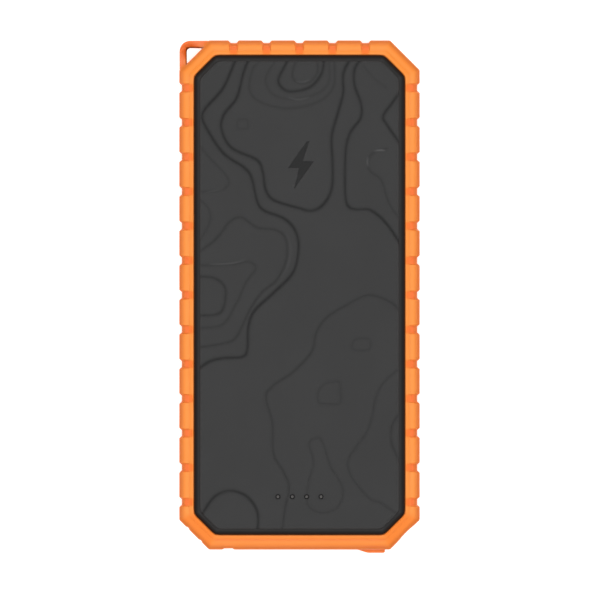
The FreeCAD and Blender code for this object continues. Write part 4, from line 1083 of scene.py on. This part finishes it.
def meshRelief(name, lines, mark, windows, holes):
    # Points crowd along the lines and thin out between them, then one triangulation joins them
    rows, drops, edges = [], [], []

    def addRow(row, drop, joined):
        start = sum(len(earlier) for earlier in rows)
        if joined:
            edges.extend((start + i, start + (i + 1) % len(row)) for i in range(len(row)))
        rows.append(row)
        drops.append(np.full(len(row), drop))

    for inset, drop in relief["brim"]:
        addRow(outlineRow(inset), drop, inset == 0)
    turn = np.linspace(0, 2 * pi, 33)[:-1]
    circle = np.column_stack([np.cos(turn), np.sin(turn)])
    for centre, radius, grows in holes:
        for grow in grows:
            addRow(np.array(centre) + circle * (radius + grow), 0.0, grow == grows[0])
    addRow(pointsInside(lines, mark, holes), 0.0, False)
    flat, drops = [tuple(p) for p in np.vstack(rows)], np.concatenate(drops)
    vertices, _, faces, origins, _, _ = delaunay_2d_cdt(flat, edges, [], 1, 1e-5)
    places = np.array([tuple(v) for v in vertices])
    fall = np.array([drops[origin[0]] if origin else 0 for origin in origins])
    centres = np.array([places[list(face)].mean(0) for face in faces])
    solid = np.ones(len(faces), bool)
    for centre, radius, grows in holes:
        solid &= np.hypot(*(centres - np.array(centre)).T) > (radius + grows[0]) * 0.97
    height, shadeAndPrint, gleam = reliefHeights(places, lines, mark, windows)
    top = np.column_stack([places, relief["top"] + height - fall])
    piece = addPiece(name, top, [tuple(face) for face, kept in zip(faces, solid) if kept])
    storeValues(piece, {"shadeAndPrint": np.clip(shadeAndPrint, 0, 1), "gleam": np.clip(gleam, 0, 1)})
    closeBelow(piece)
    return piece


def closeBelow(piece):
    # Drops a wall from every open edge to the plate's underside, and closes the underside
    shape = bmesh.new()
    shape.from_mesh(piece.data)
    loose = [v for v in shape.verts if not v.link_faces]
    bmesh.ops.delete(shape, geom=loose, context="VERTS")
    rim = [edge for edge in shape.edges if len(edge.link_faces) == 1]
    walls = bmesh.ops.extrude_edge_only(shape, edges=rim)["geom"]
    bottom = [item for item in walls if isinstance(item, bmesh.types.BMVert)]
    base = relief["base"] * mm
    for vertex in bottom:
        vertex.co.z = base
    under = [item for item in walls if isinstance(item, bmesh.types.BMEdge)
             and all(abs(v.co.z - base) < 1e-9 for v in item.verts)]
    bmesh.ops.triangle_fill(shape, use_beauty=True, use_dissolve=False, edges=under)
    bmesh.ops.recalc_face_normals(shape, faces=shape.faces)
    shape.to_mesh(piece.data)
    shape.free()


def makeFrontPanel():
    lines = [(splinePoints(points, relief["rowStep"], closed), depth, ledge)
             for table, closed in ((contours, False), (closedContours, True))
             for depth, ledge, points in table.values()]
    mark = np.array(boltMark["outline"]) + boltMark["centre"]
    windows = [np.array([(i - 1.5) * relief["windowPitch"], relief["windowY"]]) for i in range(4)]
    holes = [(centre, relief["windowHole"], (0.0, 0.15, 0.3, 0.45, 0.6)) for centre in windows]
    panel = meshRelief("frontPanel", lines, mark, windows, holes)
    setFinish(panel, "panelPlastic")
    softenShading(panel, 50)
    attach(panel, "housing")
    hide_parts("front_panel")
    print("front panel made:", len(panel.data.polygons), "faces")


makeFrontPanel()


# Rear panel: the same kind of plate, turned over, with six screw pockets

screw = {
    "places": [(26.0, 79.0), (31.5, -39.5), (31.5, -74.0)], "pocket": 2.55,
    "headRadius": 2.3, "headLow": 1.0, "seat": 2.5, "fillet": 0.4, "shank": 1.25, "tip": 15.5,
    "drive": 1.06, "lobe": 0.15, "driveDepth": 0.8, "seed": 7,
}
screwPlaces = [(side * x, y) for x, y in screw["places"] for side in (-1, 1)]
rearLines = ("westRidge", "plateauWest", "plateauEast", "northBay", "northBayOuter", "midwestRidge",
             "southRidge", "southSlope", "southDome", "westFold")


def makeRearPanel():
    # The contours run turned about, because the plate is turned over
    lines = [(-splinePoints(points, relief["rowStep"]), depth, ledge)
             for depth, ledge, points in (contours[name] for name in rearLines)]
    holes = [(place, screw["pocket"], (0.0, 0.12, 0.3, 0.6)) for place in screwPlaces]
    panel = meshRelief("rearPanel", lines, None, [], holes)
    for vertex in panel.data.vertices:
        vertex.co.z = case["height"] * mm - vertex.co.z
    faceOutwards(panel)
    setFinish(panel, "panelPlastic")
    softenShading(panel, 50)
    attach(panel, "housing")
    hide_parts("rear_panel")
    print("rear panel made:", len(panel.data.polygons), "faces")


def makeScrewPattern():
    # One screw about its own axis, head down, with a six-lobed recess
    turn = np.linspace(0, 2 * pi, 73)[:-1]
    star = 1 + screw["lobe"] * np.cos(6 * turn)
    head, low, seat, fillet = screw["headRadius"], screw["headLow"], screw["seat"], screw["fillet"]
    shank, tip, drive, floor = screw["shank"], screw["tip"], screw["drive"], low + screw["driveDepth"]
    rows = [(shank - 0.4, tip, 1), (shank, tip - 0.4, 1), (shank, seat, 1), (head, seat, 1)]
    rows += [(head - fillet * (1 - cos(a)), low + fillet * (1 - sin(a)), 1)
             for a in np.linspace(0, pi / 2, 7)]
    rows += [(drive * 1.08, low, star), (drive, low + 0.09, star), (drive, floor, star),
             (drive * 0.4, floor + 0.1, 1)]
    rings = [np.column_stack([radius * shape * np.cos(turn), radius * shape * np.sin(turn), turn * 0 + z])
             for radius, z, shape in rows]
    return loft("screwPattern", rings)


def screwTree():
    # Sets one screw at every point, each stopped at its own angle
    inputs = {"Places": "Geometry", "Screw": "Object", "Seed": "Int", "Finish": "Material"}
    tree, bench, given = newTree("screwSet", inputs, "Screws")
    pattern = bench.node("GeometryNodeObjectInfo", values={"Object": given.other("Screw")}, out="Geometry")
    angle = bench.node("FunctionNodeRandomValue", {"data_type": "FLOAT"},
                       {2: 0.0, 3: pi / 3, "Seed": given.other("Seed")}, out=1)
    turned = bench.node("ShaderNodeCombineXYZ", values={"Z": angle})
    placed = bench.node("GeometryNodeInstanceOnPoints",
                        values={"Points": given, "Instance": pattern, "Rotation": turned})
    endTree(bench, placed, given.other("Finish"), "Screws")
    return tree


def makeScrews():
    pattern = makeScrewPattern()
    screws = addPiece("caseScrews", [(x, y, 0) for x, y in screwPlaces], [])
    settings = {"Screw": pattern, "Seed": screw["seed"], "Finish": finishes["screwSteel"]}
    runTree(screws, screwTree(), settings)
    bpy.data.objects.remove(pattern)
    softenShading(screws, 35)
    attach(screws, "housing")
    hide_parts("case_screws")
    print("screws made:", len(screws.data.polygons), "faces")


makeRearPanel()
makeScrews()


# CAD nodes that stay: each gets its finish

nodeFinishes = {
    "shellPlastic": ["front_cover", "rear_cover"], "bezelPlastic": ["port_bezel"],
    # button_cap also takes the painted-shade copy of the rubber
    "sealRubber": ["case_seal", "port_gasket", "button_seal"], "flapRubber": ["button_cap"],
    "screwSteel": ["board_screws"], "insertBrass": ["thread_inserts"],
    "connectorSteel": ["usb_c_shell", "usb_a_shell_1", "usb_a_shell_2"],
    "connectorPlastic": ["usb_c_tongue", "usb_a_tongue_1", "usb_a_tongue_2", "switch_body"],
    "contactGold": ["usb_c_contacts", "usb_a_contacts_1", "usb_a_contacts_2"],
    "circuitBoard": ["main_board"], "inductorGrey": ["power_inductors"], "chipBlack": ["controller_chips"],
    "capacitorCan": ["board_capacitors"], "ledLens": ["charge_leds"], "lightPipe": ["light_guide"],
    "cellPouch": ["cell_lower", "cell_upper"], "tabNickel": ["cell_tabs"],
    "foamGrey": ["foam_rear", "foam_middle", "foam_front"], "leadRed": ["battery_lead_positive"],
    "leadBlack": ["battery_lead_negative"], "plungerPlastic": ["switch_plunger"],
}
for finish, nodes in nodeFinishes.items():
    for node in nodes:
        setFinish(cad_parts[node], finish)
print("finishes given to", sum(len(nodes) for nodes in nodeFinishes.values()), "nodes")


# Floor, light and camera

studio = {
    "floorColour": (0.92, 0.92, 0.92), "floorFleck": (0.88, 0.88, 0.88), "floorSize": 6000.0,
    "floorGlow": 0.55, "world": 0.31, "lightSize": 1000.0, "lightPower": 12.5, "lightHeight": 1500.0,
    "lights": {"north": (0, 1500), "south": (0, -1500), "west": (-1500, 0), "east": (1500, 0)},
    "frameWidth": 212.04, "lookAt": (0.18, -1.77, 27.0), "cameraHeight": 8000.0, "sensor": 36.0,
}


def makeFloor():
    half = studio["floorSize"] / 2
    floor = addPiece("floor", [(-half, -half, 0), (half, -half, 0), (half, half, 0), (-half, half, 0)],
                     [(0, 1, 2, 3)])
    material, bench, place = newMaterial("floorPaper")
    fleck = bench.noise(place, 40.0, 2)
    pale = bench.blendColour(fleck * 0.2, rgb(studio["floorColour"]), rgb(studio["floorFleck"]))
    surface(bench, Base_Color=pale, Roughness=0.9, Emission_Color=rgb((1, 1, 1)),
            Emission_Strength=studio["floorGlow"])
    floor.data.materials.append(material)


def makeLights():
    world = bpy.data.worlds.new("studio")
    bpy.context.scene.world = world
    world.use_nodes = True
    sky = world.node_tree.nodes["Background"]
    sky.inputs["Color"].default_value = (1.0, 1.0, 1.0, 1.0)
    sky.inputs["Strength"].default_value = studio["world"]
    for name, place in studio["lights"].items():
        data = bpy.data.lights.new(name + "Softbox", "AREA")
        data.size, data.energy = studio["lightSize"] * mm, studio["lightPower"]
        light = bpy.data.objects.new(name + "Softbox", data)
        light.location = [c * mm for c in (*place, studio["lightHeight"])]
        light.rotation_mode = "QUATERNION"
        light.rotation_quaternion = light.location.to_track_quat("Z", "Y")
        bpy.context.scene.collection.objects.link(light)


def makeCamera():
    data = bpy.data.cameras.new("camera")
    data.sensor_width = studio["sensor"]
    distance = studio["cameraHeight"] - studio["lookAt"][2]
    data.lens = studio["sensor"] * distance / studio["frameWidth"]
    data.clip_end = 20.0
    camera = bpy.data.objects.new("camera", data)
    camera.location = [studio["lookAt"][0] * mm, studio["lookAt"][1] * mm, studio["cameraHeight"] * mm]
    bpy.context.scene.collection.objects.link(camera)
    bpy.context.scene.camera = camera


makeFloor()
makeLights()
makeCamera()
bpy.context.scene.view_settings.view_transform = "Standard"
print("studio made")
